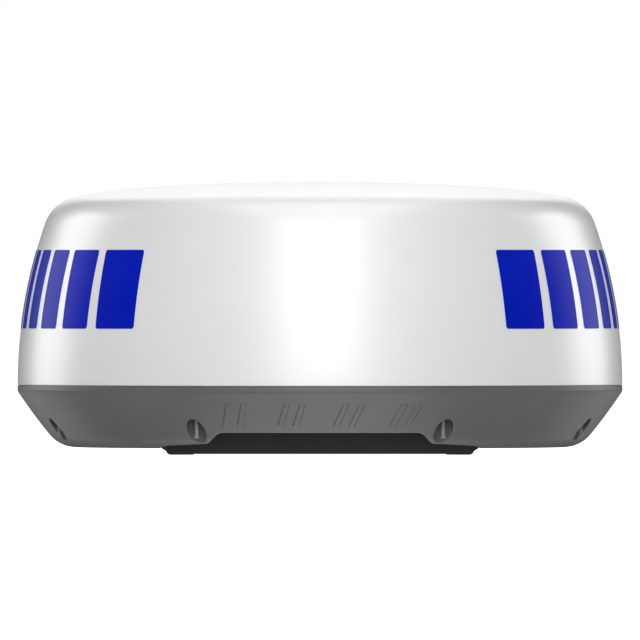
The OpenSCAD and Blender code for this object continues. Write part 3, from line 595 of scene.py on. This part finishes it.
def base_casting():
    """The cast base as one closed mesh: outer skin, rim and inner skin."""
    plan, tris = height_skin(underside_points(), circle((0, 0), SKIN_R, RIM_SEGMENTS))
    r = np.hypot(plan[:, 0], plan[:, 1])
    relief = np.clip(mark_depth(plan) / MARK_SIDE_RUN, 0, 1)
    relief = MARK_RELIEF * relief * relief * (3 - 2 * relief)
    out = np.column_stack([plan[:, 0] / np.maximum(r, 1) * COS_SLOPE,
                           plan[:, 1] / np.maximum(r, 1) * COS_SLOPE,
                           np.full(len(plan), -math.sin(math.radians(BASE_SLOPE)))])
    outer_skin = np.column_stack([plan, underside_height(plan)]) + out * relief[:, None]
    outside = outer_skin, [f[::-1] for f in tris]
    rim = turned(base_rim_section(), RIM_SEGMENTS, closed=False)
    plan, tris = height_skin(inside_points(), circle((0, 0), INNER_SKIN_R, RIM_SEGMENTS))
    inside = np.column_stack([plan, inside_height(plan)]), tris

    obj = mesh_object("cast_base", *merged([outside, rim, inside]), sharp=None)
    weld(obj, 0.004)
    obj.data.set_sharp_from_angle(angle=math.radians(34))
    weighted_normals(obj)
    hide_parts("base_casting")
    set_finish(obj, "casting_grey")
    return obj


def weld(obj, distance):
    """Merges points closer than distance, in millimetres, and turns all faces outward."""
    bm = bmesh.new()
    bm.from_mesh(obj.data)
    bmesh.ops.remove_doubles(bm, verts=bm.verts, dist=distance * MM)
    bmesh.ops.dissolve_degenerate(bm, edges=bm.edges, dist=distance * MM * 0.1)
    bmesh.ops.recalc_face_normals(bm, faces=bm.faces)
    for f in bm.faces:
        f.smooth = True
    bm.to_mesh(obj.data)
    bm.free()


# ---------------- the radome and its graphics

def radome():
    """The moulded shell with its rounded lower edge and the tongue that sits in the base's ledge."""
    outer = dome_curve(0)[:-1]
    edge = 0.5
    lower = arc((DOME_R - edge, SEAM + edge), edge, 90, 180, 4)
    tongue = [(DOME_R - 3.8, SEAM), (DOME_R - 3.8, TONGUE_Z + 0.4), (DOME_R - 4.2, TONGUE_Z),
              (DOME_R - 9.1, TONGUE_Z), (DOME_R - 9.5, TONGUE_Z + 0.4), (DOME_R - 9.5, SEAM + 1.6),
              (DOME_R - 9.1, SEAM + 2)]
    inner = dome_curve(-DOME_WALL)[::-1]
    inner = inner[inner[:, 1] > SEAM + 2.4]
    outer = outer[outer[:, 1] > SEAM + edge + 0.05]
    section = [tuple(p) for p in outer] + [tuple(p) for p in lower] + tongue + [tuple(p) for p in inner]
    obj = mesh_object("radome_shell", *turned(section, RIM_SEGMENTS, closed=False), sharp=40)
    weighted_normals(obj)
    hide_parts("radome_cover")
    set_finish(obj, "radome_white")
    return obj


def graphic_bar(name, angle, width, mirror):
    """One vinyl bar: a thin closed sheet that follows the radome's flank."""
    corner_r = 1.2
    rows, cols = 34, max(4, int(width / 2))
    low, high = 0.04, 0.25   # its faces, outside the flank
    verts, faces = [], []
    centre = math.radians(angle - 90)
    for g in (high, low):
        for i in range(rows + 1):
            v = -0.5 + i / rows
            z = GRAPHIC_Z + v * GRAPHIC_H
            r = float(flank_radius(z, g))
            cut = max(0.0, corner_r - (0.5 - abs(v)) * GRAPHIC_H)
            trim = corner_r - math.sqrt(max(corner_r * corner_r - cut * cut, 0))
            half = width / 2 - trim
            for k in range(cols + 1):
                u = -half + 2 * half * k / cols
                a = centre + math.asin(u / r)
                x = r * math.cos(a)
                verts.append((-x if mirror else x, r * math.sin(a), z))
    layer = (rows + 1) * (cols + 1)
    for i in range(rows):
        for k in range(cols):
            q = [i * (cols + 1) + k, i * (cols + 1) + k + 1, (i + 1) * (cols + 1) + k + 1,
                 (i + 1) * (cols + 1) + k]
            faces.append(q)
            faces.append([j + layer for j in q[::-1]])
    rim = [k for k in range(cols + 1)] + [i * (cols + 1) + cols for i in range(1, rows + 1)] \
        + [rows * (cols + 1) + k for k in range(cols - 1, -1, -1)] \
        + [i * (cols + 1) for i in range(rows - 1, 0, -1)]
    for a, b in zip(rim, rim[1:] + rim[:1]):
        faces.append([b, a, a + layer, b + layer])
    if mirror:
        faces = [f[::-1] for f in faces]
    return mesh_object(name, verts, faces, sharp=40)


def side_graphics():
    """The row of vinyl bars on each flank."""
    bars = []
    for mirror, side in ((True, "port"), (False, "starboard")):
        for i, (angle, width) in enumerate(GRAPHIC_BARS):
            bar = graphic_bar(f"vinyl_bar_{side}_{i + 1}", angle, width, mirror)
            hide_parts("side_graphics")
            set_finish(bar, "graphic_blue")
            bars.append(bar)
    return bars


# ---------------- turned and moulded pieces

def joined(name, parts):
    """One object from several (vertices, faces) parts in millimetres."""
    obj = mesh_object(name, *merged(parts), sharp=None)
    weld(obj, 0.002)
    obj.data.set_sharp_from_angle(angle=math.radians(32))
    return weighted_normals(obj)


def prism(outline, low, high, chamfer=0.0):
    """A convex outline of (x, y) points drawn from z = low to high, chamfered at its lower edge."""
    centre = np.mean(outline, axis=0)
    rings = []
    levels = ([(low, chamfer), (low + chamfer, 0.0)] if chamfer else [(low, 0.0)]) + [(high, 0.0)]
    for z, inset in levels:
        for p in outline:
            away = np.asarray(p, float) - centre
            q = centre + away * (1 - inset / np.hypot(*away))
            rings.append((q[0], q[1], z))
    n = len(outline)
    faces = [[k * n + i, k * n + (i + 1) % n, (k + 1) * n + (i + 1) % n, (k + 1) * n + i]
             for k in range(len(levels) - 1) for i in range(n)]
    faces += [list(range(n))[::-1], [(len(levels) - 1) * n + i for i in range(n)]]
    return rings, faces


def rotated(part, angle, shift=(0, 0, 0)):
    """A part turned about Z by angle degrees, then moved."""
    c, s = math.cos(math.radians(angle)), math.sin(math.radians(angle))
    verts = [(x * c - y * s + shift[0], x * s + y * c + shift[1], z + shift[2]) for x, y, z in part[0]]
    return verts, part[1]


def rounded_ring(outer, inner, low, high, r, segments=64, at=(0, 0, 0)):
    """A flat ring with edges rounded by r."""
    section = []
    for cx, cz, a0 in ((outer - r, low + r, 180), (outer - r, high - r, 90), (inner + r, high - r, 0),
                       (inner + r, low + r, -90)):
        section += [tuple(p) for p in arc((cx, cz), r, a0, a0 - 90, 3)]
    return turned(section, segments, at)


def cover_screws():
    """Slim stem with a hexagonal foot, and a shank that goes up through the washer."""
    top = POCKET_TOP - WASHER_T
    stem = [(0, 49.2), (2.0, 49.2), (2.45, 48.6), (2.45, top - 1.2), (1.7, top - 1.2), (1.7, 17.0),
            (1.95, 16.5), (0, 16.5)]
    hexagon = ring_places(2.4, range(0, 360, 60))
    parts = []
    for a, (x, y) in zip(SCREW_ANGLES, SCREW_AT):
        parts.append(turned(stem, 40, (x, y, 0), closed=False))
        parts.append(rotated(prism(hexagon, 14.4, 16.6, 0.35), a, (x, y, 0)))
    obj = joined("cover_screw_set", parts)
    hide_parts("cover_screws")
    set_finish(obj, "stainless")
    return obj


def cover_screw_collars():
    """Flat blackened collar of each cover screw, under its washer."""
    top = POCKET_TOP - WASHER_T
    collars = [rounded_ring(5.2, 1.75, top - 2.4, top - 0.02, 0.35, 48, (x, y, 0)) for x, y in SCREW_AT]
    obj = joined("cover_screw_collar_set", collars)
    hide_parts("cover_screws")
    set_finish(obj, "stainless")
    return obj


def cover_washers():
    """Rubber washers between the collars and the pockets' ceilings."""
    low = POCKET_TOP - WASHER_T
    washers = [rounded_ring(6.6, 2.7, low, POCKET_TOP, 0.35, 48, (x, y, 0)) for x, y in SCREW_AT]
    obj = joined("cover_washer_set", washers)
    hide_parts("cover_screw_washers")
    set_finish(obj, "rubber_black")
    return obj


def mounting_pads():
    """Rubber rings with two round grooves in the face that they stand on."""
    parts = []
    for x, y in MOUNT_AT:
        section = [(PAD_R, 2.95), (PAD_R, 0.5), (PAD_R - 0.15, 0.15), (PAD_R - 0.5, 0.0), (9.3, 0.0),
                   (9.0, 0.35), (8.7, 0.35), (8.4, 0.0), (7.4, 0.0), (7.1, 0.35), (6.8, 0.35), (6.5, 0.0),
                   (5.0, 0.0), (4.65, 0.15), (4.5, 0.5), (4.5, 2.95)]
        parts.append(turned(section, 72, (x, y, 0)))
    obj = joined("pad_set", parts)
    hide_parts("mounting_pads")
    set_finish(obj, "rubber_black")
    return obj


def mounting_inserts():
    """Flanged brass inserts with a threaded bore."""
    parts = []
    thread = []
    z = 3.7
    while z < 21.6:
        thread += [(3.4, z), (3.95, z + 0.55), (3.95, z + 0.7)]
        z += 1.25
    for x, y in MOUNT_AT:
        bore = [(0, 22.0), (3.4, 22.0)] + thread[::-1]
        outside = [(4.1, 3.0), (8.7, 3.0), (9.0, 3.3), (9.0, 6.0), (6.98, 6.0), (6.98, 23.6), (6.6, 24.0),
                   (0, 24.0)]
        parts.append(turned(bore + outside, 64, (x, y, 0), closed=False))
    obj = joined("insert_set", parts)
    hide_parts("mounting_inserts")
    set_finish(obj, "brass")
    return obj


def hex_ring(r, z):
    """A hexagon of corner radius r, with as many points as a round ring."""
    points = []
    for a in np.arange(SCREW_SEGMENTS) * 2 * math.pi / SCREW_SEGMENTS:
        off = a % (math.pi / 3) - math.pi / 6
        d = r * math.cos(math.pi / 6) / math.cos(off)
        points.append((d * math.cos(a), d * math.sin(a), z))
    return points


def socket_screw(r, length, head_r, head_h, seat):
    """A socket-head screw whose head hangs below the seat's height."""
    face = seat - head_h
    floor = seat - 0.4 * head_h
    key = head_r / 2
    tip = seat + length
    hexagon = [(key, floor), (key, face + 0.15), (key + 0.15, face)]
    outline = [(head_r - 0.35, face), (head_r - 0.1, face + 0.1), (head_r, face + 0.35), (head_r, seat),
               (r, seat), (r, tip - 0.4), (r - 0.4, tip), (0, tip)]
    return loft([[(0, 0, floor)]] + [hex_ring(*level) for level in hexagon]
                + [round_ring(*level) for level in outline])


def plinth_screws():
    """Screws that hold the plinth to the casting."""
    screw = socket_screw(1.95, 20, 4, 3, 6)
    obj = joined("plinth_screw_set", [rotated(screw, 10, (x, y, 0)) for x, y in PLINTH_SCREW_AT])
    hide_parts("plinth_screws")
    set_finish(obj, "stainless")
    return obj


def cable_cover_screws():
    """Screws that hold the cable cover to its posts."""
    screw = socket_screw(1.55, 8, 3.1, 1.9, 8)
    obj = joined("cable_cover_screw_set", [rotated(screw, 25, (x, y, 0)) for x, y in POST_AT])
    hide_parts("cable_cover_screws")
    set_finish(obj, "stainless")
    return obj


def breather_vent():
    """A flanged plug with a round groove in its face and a nut inside."""
    flange = [(1.5, 6.1), (1.8, 5.8), (4.0, 5.8), (4.2, 6.2), (5.6, 6.2), (5.8, 5.8), (8.0, 5.8),
              (8.5, 6.3), (8.5, 8.4), (4.98, 8.4)]
    nut = [(4.98, 13.0), (6.8, 13.0), (7.0, 13.2), (7.0, 15.8), (6.8, 16.0), (4.98, 16.0)]
    end = [(4.98, 17.1), (4.7, 17.4), (1.5, 17.4)]
    x, y = VENT_AT[0]
    obj = joined("vent_plug", [turned(flange + nut + end, 64, (x, y, 0))])
    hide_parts("breather_vent")
    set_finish(obj, "plinth_black")
    return obj


def facing_back(part, x, z):
    """A part turned so that its own axis points towards +Y, from the well's front wall."""
    return [(x + px, WELL_Y[0] + pz, z - py) for px, py, pz in part[0]], part[1]


def sockets():
    """Two threaded panel sockets with their gaskets in the well."""
    thread = []
    for k in range(6):
        thread += [(8.98, 11.6 - k * 1.25), (8.55, 11.2 - k * 1.25), (8.55, 10.95 - k * 1.25)]
    flange = [(8.98, 4.0), (12.6, 4.0), (13.0, 3.6), (13.0, 1.5)]
    tail = [(8.98, 1.5), (8.98, -13.6), (8.6, -14), (0, -14)]
    made = []
    for node, x, bore in (("power_socket", SOCKET_X, 7.0), ("network_socket", -SOCKET_X, 6.0)):
        mouth = [(0, 2), (bore, 2), (bore, 12.7), (bore + 0.3, 13), (8.6, 13), (8.98, 12.6)]
        section = mouth + thread + flange + tail
        obj = joined(node + "_shell", [facing_back(turned(section, 64, closed=False), x, SOCKET_Z)])
        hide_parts(node)
        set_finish(obj, "plinth_black")
        made.append(obj)
    rings = [facing_back(rounded_ring(12.5, 9.0, 0, 1.5, 0.3), x, SOCKET_Z) for x in (-SOCKET_X, SOCKET_X)]
    obj = joined("gasket_pair", rings)
    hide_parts("socket_gaskets")
    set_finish(obj, "rubber_black")
    return made + [obj]


def radome_bosses():
    """Screw bosses with their ribs, moulded inside the radome."""
    parts = []
    boss = [(0, 78.5), (6.2, 78.5), (6.5, 78.2), (6.5, BOSS_TOP + 0.3), (6.2, BOSS_TOP), (3.5, BOSS_TOP),
            (3.5, BOSS_TOP + 14.7), (0, BOSS_TOP + 14.7)]
    rib = [(0, SEAM + 3), (21, SEAM + 3), (21, 92), (17, 92), (0, BOSS_TOP + 38)]
    for a, (x, y) in zip(SCREW_ANGLES, SCREW_AT):
        parts.append(turned(boss, 40, (x, y, 0), closed=False))
        verts = [(r, -1.5, z) for r, z in rib] + [(r, 1.5, z) for r, z in rib]
        n = len(rib)
        faces = [list(range(n)), list(range(n, 2 * n))[::-1]]
        faces += [[i, i + n, (i + 1) % n + n, (i + 1) % n] for i in range(n)]
        parts.append(rotated((verts, faces), a, (x, y, 0)))
    obj = joined("radome_boss_set", parts)
    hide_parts("radome_cover")
    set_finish(obj, "radome_white")
    return obj


# ---------------- materials

def new_material(name):
    mat = bpy.data.materials.new(name)
    mat.use_nodes = True
    nodes, links = mat.node_tree.nodes, mat.node_tree.links
    return mat, nodes, links, nodes["Principled BSDF"]


def set_inputs(node, values):
    """Sets a node's unlinked inputs by name."""
    for key, value in values.items():
        node.inputs[key].default_value = value


def noise(nodes, links, scale, detail=4.0, rough=0.5, stretch=None):
    """A noise texture in the object's own space; stretch scales the space along each axis."""
    coord = nodes.get("coords") or nodes.new("ShaderNodeTexCoord")
    coord.name = "coords"
    tex = nodes.new("ShaderNodeTexNoise")
    set_inputs(tex, {"Scale": scale, "Detail": detail, "Roughness": rough})
    source = coord.outputs["Object"]
    if stretch:
        mapping = nodes.new("ShaderNodeMapping")
        mapping.inputs["Scale"].default_value = stretch
        links.new(source, mapping.inputs["Vector"])
        source = mapping.outputs["Vector"]
    links.new(source, tex.inputs["Vector"])
    return tex


def ramp(nodes, links, source, low, high, colours):
    """A colour between two, as the source goes from low to high."""
    node = nodes.new("ShaderNodeValToRGB")
    for stop, position, colour in zip(node.color_ramp.elements, (low, high), colours):
        stop.position = position
        stop.color = (*colour, 1)
    links.new(source, node.inputs["Fac"])
    return node


def remap(nodes, links, source, low, high):
    """A value from low to high, as the source goes from 0 to 1."""
    node = nodes.new("ShaderNodeMapRange")
    set_inputs(node, {"To Min": low, "To Max": high})
    links.new(source, node.inputs["Value"])
    return node


def bump(nodes, links, source, height, strength, before=None):
    """Raises the surface by the source, on top of an earlier bump if one is given."""
    node = nodes.new("ShaderNodeBump")
    set_inputs(node, {"Distance": height * MM, "Strength": strength})
    links.new(source, node.inputs["Height"])
    if before:
        links.new(before.outputs["Normal"], node.inputs["Normal"])
    return node


def surface(name, tones, rough, metallic=0.0, mottle=18.0, grain=900.0, grain_depth=0.02, wave=None,
            specular=0.5, coat=0.0, coat_rough=0.05, coat_ior=1.5, stretch=None):
    """A procedural finish: tones vary slowly, roughness varies with them, and grain raises the surface."""
    mat, nodes, links, bsdf = new_material(name)
    slow = noise(nodes, links, mottle, 5.0, 0.55)
    colour = ramp(nodes, links, slow.outputs["Fac"], 0.35, 0.65, tones)
    links.new(colour.outputs["Color"], bsdf.inputs["Base Color"])
    roughness = remap(nodes, links, slow.outputs["Fac"], *rough)
    links.new(roughness.outputs["Result"], bsdf.inputs["Roughness"])
    fine = noise(nodes, links, grain, 3.0, 0.6, stretch)
    normal = bump(nodes, links, fine.outputs["Fac"], grain_depth, 0.6)
    if wave:
        long = noise(nodes, links, wave[0], 2.0, 0.4)
        normal = bump(nodes, links, long.outputs["Fac"], wave[1], 0.5, normal)
    links.new(normal.outputs["Normal"], bsdf.inputs["Normal"])
    set_inputs(bsdf, {"Metallic": metallic, "Specular IOR Level": specular, "Coat Weight": coat,
                      "Coat Roughness": coat_rough, "Coat IOR": coat_ior})
    if coat:
        links.new(normal.outputs["Normal"], bsdf.inputs["Coat Normal"])
    return mat


def board_finish(name, tones, rough):
    """Solder mask over a net of slightly raised copper tracks."""
    mat = surface(name, tones, rough, mottle=40.0, grain=1200.0, grain_depth=0.01)
    nodes, links = mat.node_tree.nodes, mat.node_tree.links
    bsdf = nodes["Principled BSDF"]
    tracks = nodes.new("ShaderNodeTexBrick")
    set_inputs(tracks, {"Scale": 130.0, "Mortar Size": 0.035, "Mortar Smooth": 0.1})
    tracks.offset = 0.37
    links.new(nodes["coords"].outputs["Object"], tracks.inputs["Vector"])
    base = bsdf.inputs["Base Color"].links[0].from_socket
    mix = nodes.new("ShaderNodeMixRGB")
    mix.inputs["Color2"].default_value = (tones[1][0] * 2.2, tones[1][1] * 2.0, tones[1][2] * 1.9, 1)
    links.new(tracks.outputs["Fac"], mix.inputs["Fac"])
    links.new(base, mix.inputs["Color1"])
    links.new(mix.outputs["Color"], bsdf.inputs["Base Color"])
    fine = bsdf.inputs["Normal"].links[0].from_node
    raised = bump(nodes, links, tracks.outputs["Fac"], 0.03, 0.7, fine)
    links.new(raised.outputs["Normal"], bsdf.inputs["Normal"])
    return mat


def make_materials():
    """The finishes that need more than a plain surface, by slot or by their own name."""
    m = {}
    m["radome_white"] = surface("gelcoat_white", ((0.80, 0.80, 0.81), (0.84, 0.84, 0.845)), (0.38, 0.44),
                                mottle=6.0, grain=420.0, grain_depth=0.012, wave=(60.0, 0.02), coat=1.0,
                                coat_rough=0.3, coat_ior=1.9)
    m["graphic_blue"] = surface("vinyl_blue", ((0.0006, 0.0105, 0.43), (0.001, 0.013, 0.47)), (0.27, 0.35),
                                mottle=30.0, grain=700.0, grain_depth=0.008, specular=0.06)
    m["casting_grey"] = surface("powder_coat_grey", ((0.110, 0.111, 0.113), (0.126, 0.127, 0.129)),
                                (0.44, 0.52), mottle=14.0, grain=1500.0, grain_depth=0.04,
                                wave=(420.0, 0.03), specular=0.4, coat=0.3, coat_rough=0.36)
    m["plinth_black"] = surface("moulded_black", ((0.062, 0.062, 0.063), (0.080, 0.080, 0.082)),
                                (0.45, 0.6), mottle=22.0, grain=1800.0, grain_depth=0.05)
    m["rubber_black"] = surface("rubber_black_matte", ((0.014, 0.014, 0.014), (0.026, 0.026, 0.026)),
                                (0.7, 0.88), mottle=60.0, grain=1400.0, grain_depth=0.04)
    m["passivated_steel"] = surface("passivated_steel", ((0.20, 0.20, 0.205), (0.27, 0.27, 0.275)),
                                    (0.5, 0.62), mottle=60.0, grain=1600.0, grain_depth=0.03)
    m["blackened_steel"] = surface("blackened_steel", ((0.012, 0.012, 0.013), (0.022, 0.022, 0.024)),
                                   (0.5, 0.65), mottle=60.0, grain=1600.0, grain_depth=0.03)
    m["board_green"] = board_finish("board_green", ((0.010, 0.085, 0.035), (0.016, 0.12, 0.05)),
                                    (0.25, 0.38))
    return m


# slot: two tones, roughness range, metallic, and the axis scales of a brushed or turned grain
SIMPLE = {
    "stainless": (((0.52, 0.52, 0.53), (0.64, 0.64, 0.65)), (0.2, 0.36), 1.0, (1, 1, 14)),
    "bearing_steel": (((0.60, 0.60, 0.62), (0.70, 0.70, 0.71)), (0.08, 0.18), 1.0, (1, 1, 20)),
    "brass": (((0.62, 0.42, 0.16), (0.76, 0.54, 0.22)), (0.18, 0.34), 1.0, (1, 1, 16)),
    "aluminium": (((0.63, 0.64, 0.66), (0.70, 0.71, 0.72)), (0.28, 0.38), 1.0, (1, 1, 10)),
    "sheet_aluminium": (((0.58, 0.59, 0.60), (0.63, 0.64, 0.65)), (0.36, 0.43), 1.0, (14, 1, 1)),
    "motor_black": (((0.02, 0.02, 0.022), (0.04, 0.04, 0.043)), (0.35, 0.5), 0.0, None),
    "chip_black": (((0.014, 0.014, 0.015), (0.03, 0.03, 0.031)), (0.45, 0.6), 0.0, None),
    "socket_ivory": (((0.66, 0.61, 0.47), (0.76, 0.71, 0.58)), (0.35, 0.48), 0.0, None),
    "gear_acetal": (((0.70, 0.68, 0.62), (0.80, 0.78, 0.72)), (0.3, 0.44), 0.0, None),
    "copper": (((0.55, 0.25, 0.12), (0.72, 0.36, 0.2)), (0.22, 0.36), 1.0, (1, 1, 24)),
    "cable_black": (((0.015, 0.015, 0.016), (0.028, 0.028, 0.03)), (0.5, 0.66), 0.0, None),
    "coax_tan": (((0.32, 0.22, 0.12), (0.42, 0.31, 0.19)), (0.35, 0.5), 0.0, (1, 1, 6)),
    "array_white": (((0.72, 0.72, 0.70), (0.80, 0.80, 0.78)), (0.4, 0.55), 0.0, None),
}


def soften(obj, width):
    """Joins the faces of a CAD mesh and rounds its sharp edges."""
    join = obj.modifiers.new("joined", "WELD")
    join.merge_threshold = 0.001 * MM
    edge = obj.modifiers.new("rounded", "BEVEL")
    edge.width = width * MM
    edge.segments = 2
    edge.limit_method = "ANGLE"
    edge.angle_limit = math.radians(50)
    weighted_normals(obj)


def finish_cad_nodes(materials):
    """Each CAD node that is still shown gets its slot's finish and softened edges."""
    slots = {s["node"]: s["material_slot"] for s in frame["record"]["subparts"]}
    for name, obj in frame["nodes"].items():
        if obj.hide_render:
            continue
        obj.data.materials.clear()
        obj.data.materials.append(materials[slots[name]])
        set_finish(obj, slots[name])
        soften(obj, 0.2)


# ---------------- stage, light and camera

LIGHT_AIM_Z = 0.11


def area_light(name, azimuth, elevation, away, size, power):
    """A soft rectangular light that faces the radome, azimuth 0 in front and 90 to starboard."""
    aim = Vector((0, 0, LIGHT_AIM_Z))
    a, e = math.radians(azimuth), math.radians(elevation)
    way = Vector((math.sin(a) * math.cos(e), -math.cos(a) * math.cos(e), math.sin(e)))
    data = bpy.data.lights.new(name, "AREA")
    data.shape = "RECTANGLE"
    data.size, data.size_y = size
    data.energy = power
    obj = new_object(name, data)
    obj.location = aim + way * away
    obj.rotation_euler = (-way).to_track_quat("-Z", "Y").to_euler()
    obj.visible_camera = False


FLOOR_HALF = 60.0   # metres
FLOOR_GLOW = 1.0
SURROUND = 0.192


def studio_floor():
    """A white floor that glows to the camera only, and is left out of shadows and reflections."""
    corners = [(x * FLOOR_HALF, y * FLOOR_HALF, 0) for x, y in ((-1, -1), (1, -1), (1, 1), (-1, 1))]
    mesh = bpy.data.meshes.new("studio_floor")
    mesh.from_pydata(corners, [], [(0, 1, 2, 3)])
    floor = new_object("studio_floor", mesh)
    mat, nodes, links, bsdf = new_material("studio_white")
    soft = noise(nodes, links, 0.6)
    tone = ramp(nodes, links, soft.outputs["Fac"], 0.3, 0.7, ((0.80, 0.80, 0.80), (0.82, 0.82, 0.82)))
    links.new(tone.outputs["Color"], bsdf.inputs["Base Color"])
    bsdf.inputs["Roughness"].default_value = 0.9
    glow = nodes.new("ShaderNodeEmission")
    glow.inputs["Strength"].default_value = FLOOR_GLOW
    seen = nodes.new("ShaderNodeLightPath")
    lit = nodes.new("ShaderNodeAddShader")
    only_seen = nodes.new("ShaderNodeMixShader")
    links.new(seen.outputs["Is Camera Ray"], only_seen.inputs["Fac"])
    links.new(bsdf.outputs["BSDF"], lit.inputs[0])
    links.new(glow.outputs["Emission"], lit.inputs[1])
    links.new(bsdf.outputs["BSDF"], only_seen.inputs[1])
    links.new(lit.outputs["Shader"], only_seen.inputs[2])
    links.new(only_seen.outputs["Shader"], nodes["Material Output"].inputs["Surface"])
    mesh.materials.append(mat)
    floor.visible_shadow = False
    floor.visible_glossy = False


def surround():
    """White to the camera; as light, even in front and half as strong behind the radome."""
    world = bpy.data.worlds.new("studio")
    bpy.context.scene.world = world
    world.use_nodes = True
    nodes, links = world.node_tree.nodes, world.node_tree.links
    light = nodes["Background"]
    light.name = "studio_light"
    coord = nodes.new("ShaderNodeTexCoord")
    axes = nodes.new("ShaderNodeSeparateXYZ")
    falloff = nodes.new("ShaderNodeMapRange")
    set_inputs(falloff, {"From Min": 0.6, "From Max": 0.95, "To Min": SURROUND, "To Max": SURROUND * 0.5})
    links.new(coord.outputs["Generated"], axes.inputs["Vector"])
    links.new(axes.outputs["Y"], falloff.inputs["Value"])
    links.new(falloff.outputs["Result"], light.inputs["Strength"])
    seen = nodes.new("ShaderNodeBackground")
    seen.inputs["Strength"].default_value = 1.0
    for node in (light, seen):
        node.inputs["Color"].default_value = (1, 1, 1, 1)
    path = nodes.new("ShaderNodeLightPath")
    mix = nodes.new("ShaderNodeMixShader")
    links.new(path.outputs["Is Camera Ray"], mix.inputs["Fac"])
    links.new(light.outputs["Background"], mix.inputs[1])
    links.new(seen.outputs["Background"], mix.inputs[2])
    links.new(mix.outputs["Shader"], nodes["World Output"].inputs["Surface"])


# name, azimuth and elevation in degrees, distance and size in metres, power in watts
LIGHTS = [
    ("front_mid", 0, 20, 2.2, (1.2, 1.9), 17.7),
    ("front_wide", 0, 20, 2.3, (2.4, 1.9), 6.44),
    ("below_front", 0, -70, 1.3, (0.6, 0.9), 0.506),
    ("low_front", 0, -36, 2.0, (0.9, 0.6), 1.13),
    ("under", 0, -89, 1.4, (1.3, 1.3), 10.9),
    ("front_high", 0, 52, 2.2, (1.6, 1.0), 6.1),
    ("overhead", 0, 84, 2.0, (1.6, 1.6), 11),
    ("behind_high", 180, 50, 2.6, (1.6, 1.0), 5.51),
    ("behind_mid", 180, 27, 3.0, (1.6, 0.6), 5.6),
    ("behind_low", 180, 13, 3.0, (1.6, 0.5), 3.07),
    ("rear_side_p", -121, 14, 2.2, (1.1, 1.5), 12),
    ("low_side_p", -140, -22, 2.0, (0.9, 0.9), 1.63),
    ("rear_side_s", 121, 14, 2.2, (1.1, 1.5), 12),
    ("low_side_s", 140, -22, 2.0, (0.9, 0.9), 1.63),
]

# camera, in metres: its distance, how steeply it looks down on the seam, the height of its aim,
# and the width of the picture at the radome's axis
VIEW_DISTANCE, VIEW_SLOPE, VIEW_AIM_Z, VIEW_WIDTH = 20.0, 0.0045, 0.1130, 0.5397
SENSOR_MM = 36


def camera():
    """A long lens in front of the radome."""
    data = bpy.data.cameras.new("camera")
    obj = new_object("camera", data)
    eye = Vector((0.0, -VIEW_DISTANCE, SEAM * MM + VIEW_SLOPE * VIEW_DISTANCE))
    look = Vector((0.0, 0.0, VIEW_AIM_Z))
    obj.location = eye
    obj.rotation_euler = (look - eye).to_track_quat("-Z", "Y").to_euler()
    data.sensor_width = SENSOR_MM
    data.lens = SENSOR_MM * VIEW_DISTANCE / VIEW_WIDTH
    data.clip_start = 0.1
    data.clip_end = 200
    bpy.context.scene.camera = obj


camera()
studio_floor()
surround()
for light_row in LIGHTS:
    area_light(*light_row)
materials = make_materials()
for slot_name, (tones, rough, metallic, stretch) in SIMPLE.items():
    materials[slot_name] = surface(slot_name, tones, rough, metallic, stretch=stretch,
                                   grain_depth=0.05 if stretch else 0.02)
for obj in [radome(), radome_bosses(), base_casting(), cover_washers(), mounting_pads(), mounting_inserts(),
            plinth_screws(), cable_cover_screws(), breather_vent()] + sockets() + side_graphics():
    obj.data.materials.append(materials[obj["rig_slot"]])
# the screws' slot is stainless, but they have finishes of their own
cover_screws().data.materials.append(materials["passivated_steel"])
cover_screw_collars().data.materials.append(materials["blackened_steel"])
finish_cad_nodes(materials)
bpy.context.scene.view_settings.view_transform = "Standard"
